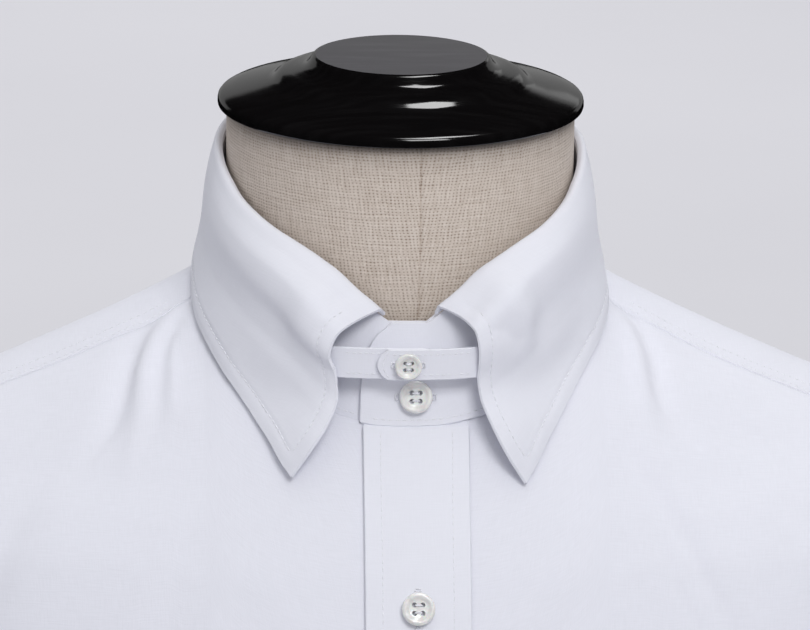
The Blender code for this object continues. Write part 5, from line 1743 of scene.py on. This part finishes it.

# %% [markdown]
# ## Flat sizes of the cloth
# Each cloth piece is listed with the size it was cut to, so that anyone who simulates it later
# knows how large the flat piece was, and the share of that size its shape covers is printed.
# The tubes state their cut all round. The areas are those of the shapes above, because cloth
# hardly stretches.

# %% Flat sizes
# piece, width, length, held, rests on
SHEETS = [
    ("front_right_cloth", 0.275, 0.775, "draped", "linen_form"),
    ("front_left_cloth", 0.240, 0.775, "draped", "linen_form"),
    ("back_cloth", 0.520, 0.700, "draped", "linen_form"),
    ("yoke_cloth", 0.480, 0.190, "draped", "linen_form"),
    ("placket_band", 0.035, 0.740, "laid", "front_right_cloth"),
    ("sleeve_right_cloth", 0.400, 0.570, "hung", "yoke_cloth"),
    ("sleeve_left_cloth", 0.400, 0.570, "hung", "yoke_cloth"),
    ("cuff_right_band", 0.230, 0.064, "folded", "sleeve_right_cloth"),
    ("cuff_left_band", 0.230, 0.064, "folded", "sleeve_left_cloth"),
    ("collar_stand_band", 0.480, 0.050, "folded", "linen_form"),
    ("collar_leaf_cloth", 0.520, 0.085, "folded", "collar_stand_band"),
    ("tab_right_cloth", 0.040, 0.010, "laid", "collar_stand_band"),
    ("tab_left_cloth", 0.040, 0.010, "laid", "tab_right_cloth"),
]
for name, width, length, held, under in SHEETS:
    print(name, "area share of its rectangle", round(AREA[name] / (width * length), 3))

# %% [markdown]
# ## The studio
# The picture was lit by a large soft light overhead and a little in front, stronger from the
# right, on a plain pale ground. Large area lights make soft shadows, a weak light on the left
# and an even pale sky fill them. Lacquer shows little but what it mirrors, so three cards that
# only reflections see give the cap its pale sheen and its highlight. The floor runs far behind
# the form, so that the whole background is floor.

# %% Floor and lights
def softbox(name, place, aim, size, watts, mirrored_too=False):
    data = bpy.data.lights.new(name, "AREA")
    data.shape, data.size, data.size_y, data.energy = "RECTANGLE", size[0], size[1], watts
    made = bpy.data.objects.new(name, data)
    bpy.context.scene.collection.objects.link(made)
    made.location = place
    made.rotation_euler = (Vector(aim) - Vector(place)).to_track_quat("-Z", "Y").to_euler()
    made.visible_glossy = mirrored_too
    return made


COLLAR_SPOT = (0.0, 0.0, 0.85)
CAP_SPOT = (0.0, 0.0, 0.95)
softbox("key_softbox", (0.46, -1.65, 2.35), COLLAR_SPOT, (0.9, 0.75), 22.0, mirrored_too=True)
softbox("left_fill", (-1.0, -2.4, 1.1), (0.0, 0.0, 0.8), (1.4, 1.2), 2.5)
softbox("overhead_softbox", (0.0, -0.4, 2.9), COLLAR_SPOT, (1.6, 1.2), 6.0)
softbox("floor_softbox", (0.0, 4.4, 4.2), (0.0, 4.4, 0.0), (6.0, 5.0), 150.0)
for name, place, size, watts in (("bright_backdrop", (0.0, 5.0, 1.50), (9.0, 2.1), 19.0),
                                 ("back_card", (1.3, 3.4, 2.0), (1.0, 0.5), 0.5),
                                 ("top_lamp", (0.46, -0.30, 2.95), (1.05, 0.6), 25.0)):
    card = softbox(name, place, CAP_SPOT, size, watts, mirrored_too=True)
    card.visible_diffuse = card.visible_camera = False

SKY_COLOUR, SKY_STRENGTH = (0.97, 0.98, 1.0, 1.0), 0.44
world = bpy.data.worlds.new("studio_fill")
bpy.context.scene.world = world
world.use_nodes = True
sky = world.node_tree.nodes["Background"].inputs
sky["Color"].default_value, sky["Strength"].default_value = SKY_COLOUR, SKY_STRENGTH
world.cycles_visibility.glossy = False

FLOOR_FINISH, tree, shader = finish("pale_floor", (0.70, 0.695, 0.735), 0.8,
                                    Specular_IOR_Level=0.2)
mottle = noise(tree, own_place(tree), 1.5, 4.0)
paint(tree, shader, mottle, [(0.3, (0.69, 0.685, 0.725)), (0.7, (0.71, 0.705, 0.745))])
half = 30
corners = [(-half, -half, 0), (half, -half, 0), (half, half, 0), (-half, half, 0)]
floor = plain_object("studio_floor", corners, [(0, 1, 2, 3)])
floor.data.materials.append(FLOOR_FINISH)
floor.visible_glossy = False
bpy.context.scene.view_settings.view_transform = "Standard"
print(len(bpy.data.lights), "lights")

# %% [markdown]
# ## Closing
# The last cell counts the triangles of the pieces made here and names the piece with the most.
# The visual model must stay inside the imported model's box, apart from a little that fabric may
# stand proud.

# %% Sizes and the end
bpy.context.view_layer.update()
triangles = {name: sum(len(face.vertices) - 2 for face in piece.data.polygons)
             for name, piece in BUILT.items()}
most = max(triangles, key=triangles.get)
print(sum(triangles.values()), "triangles, most in", most, triangles[most])
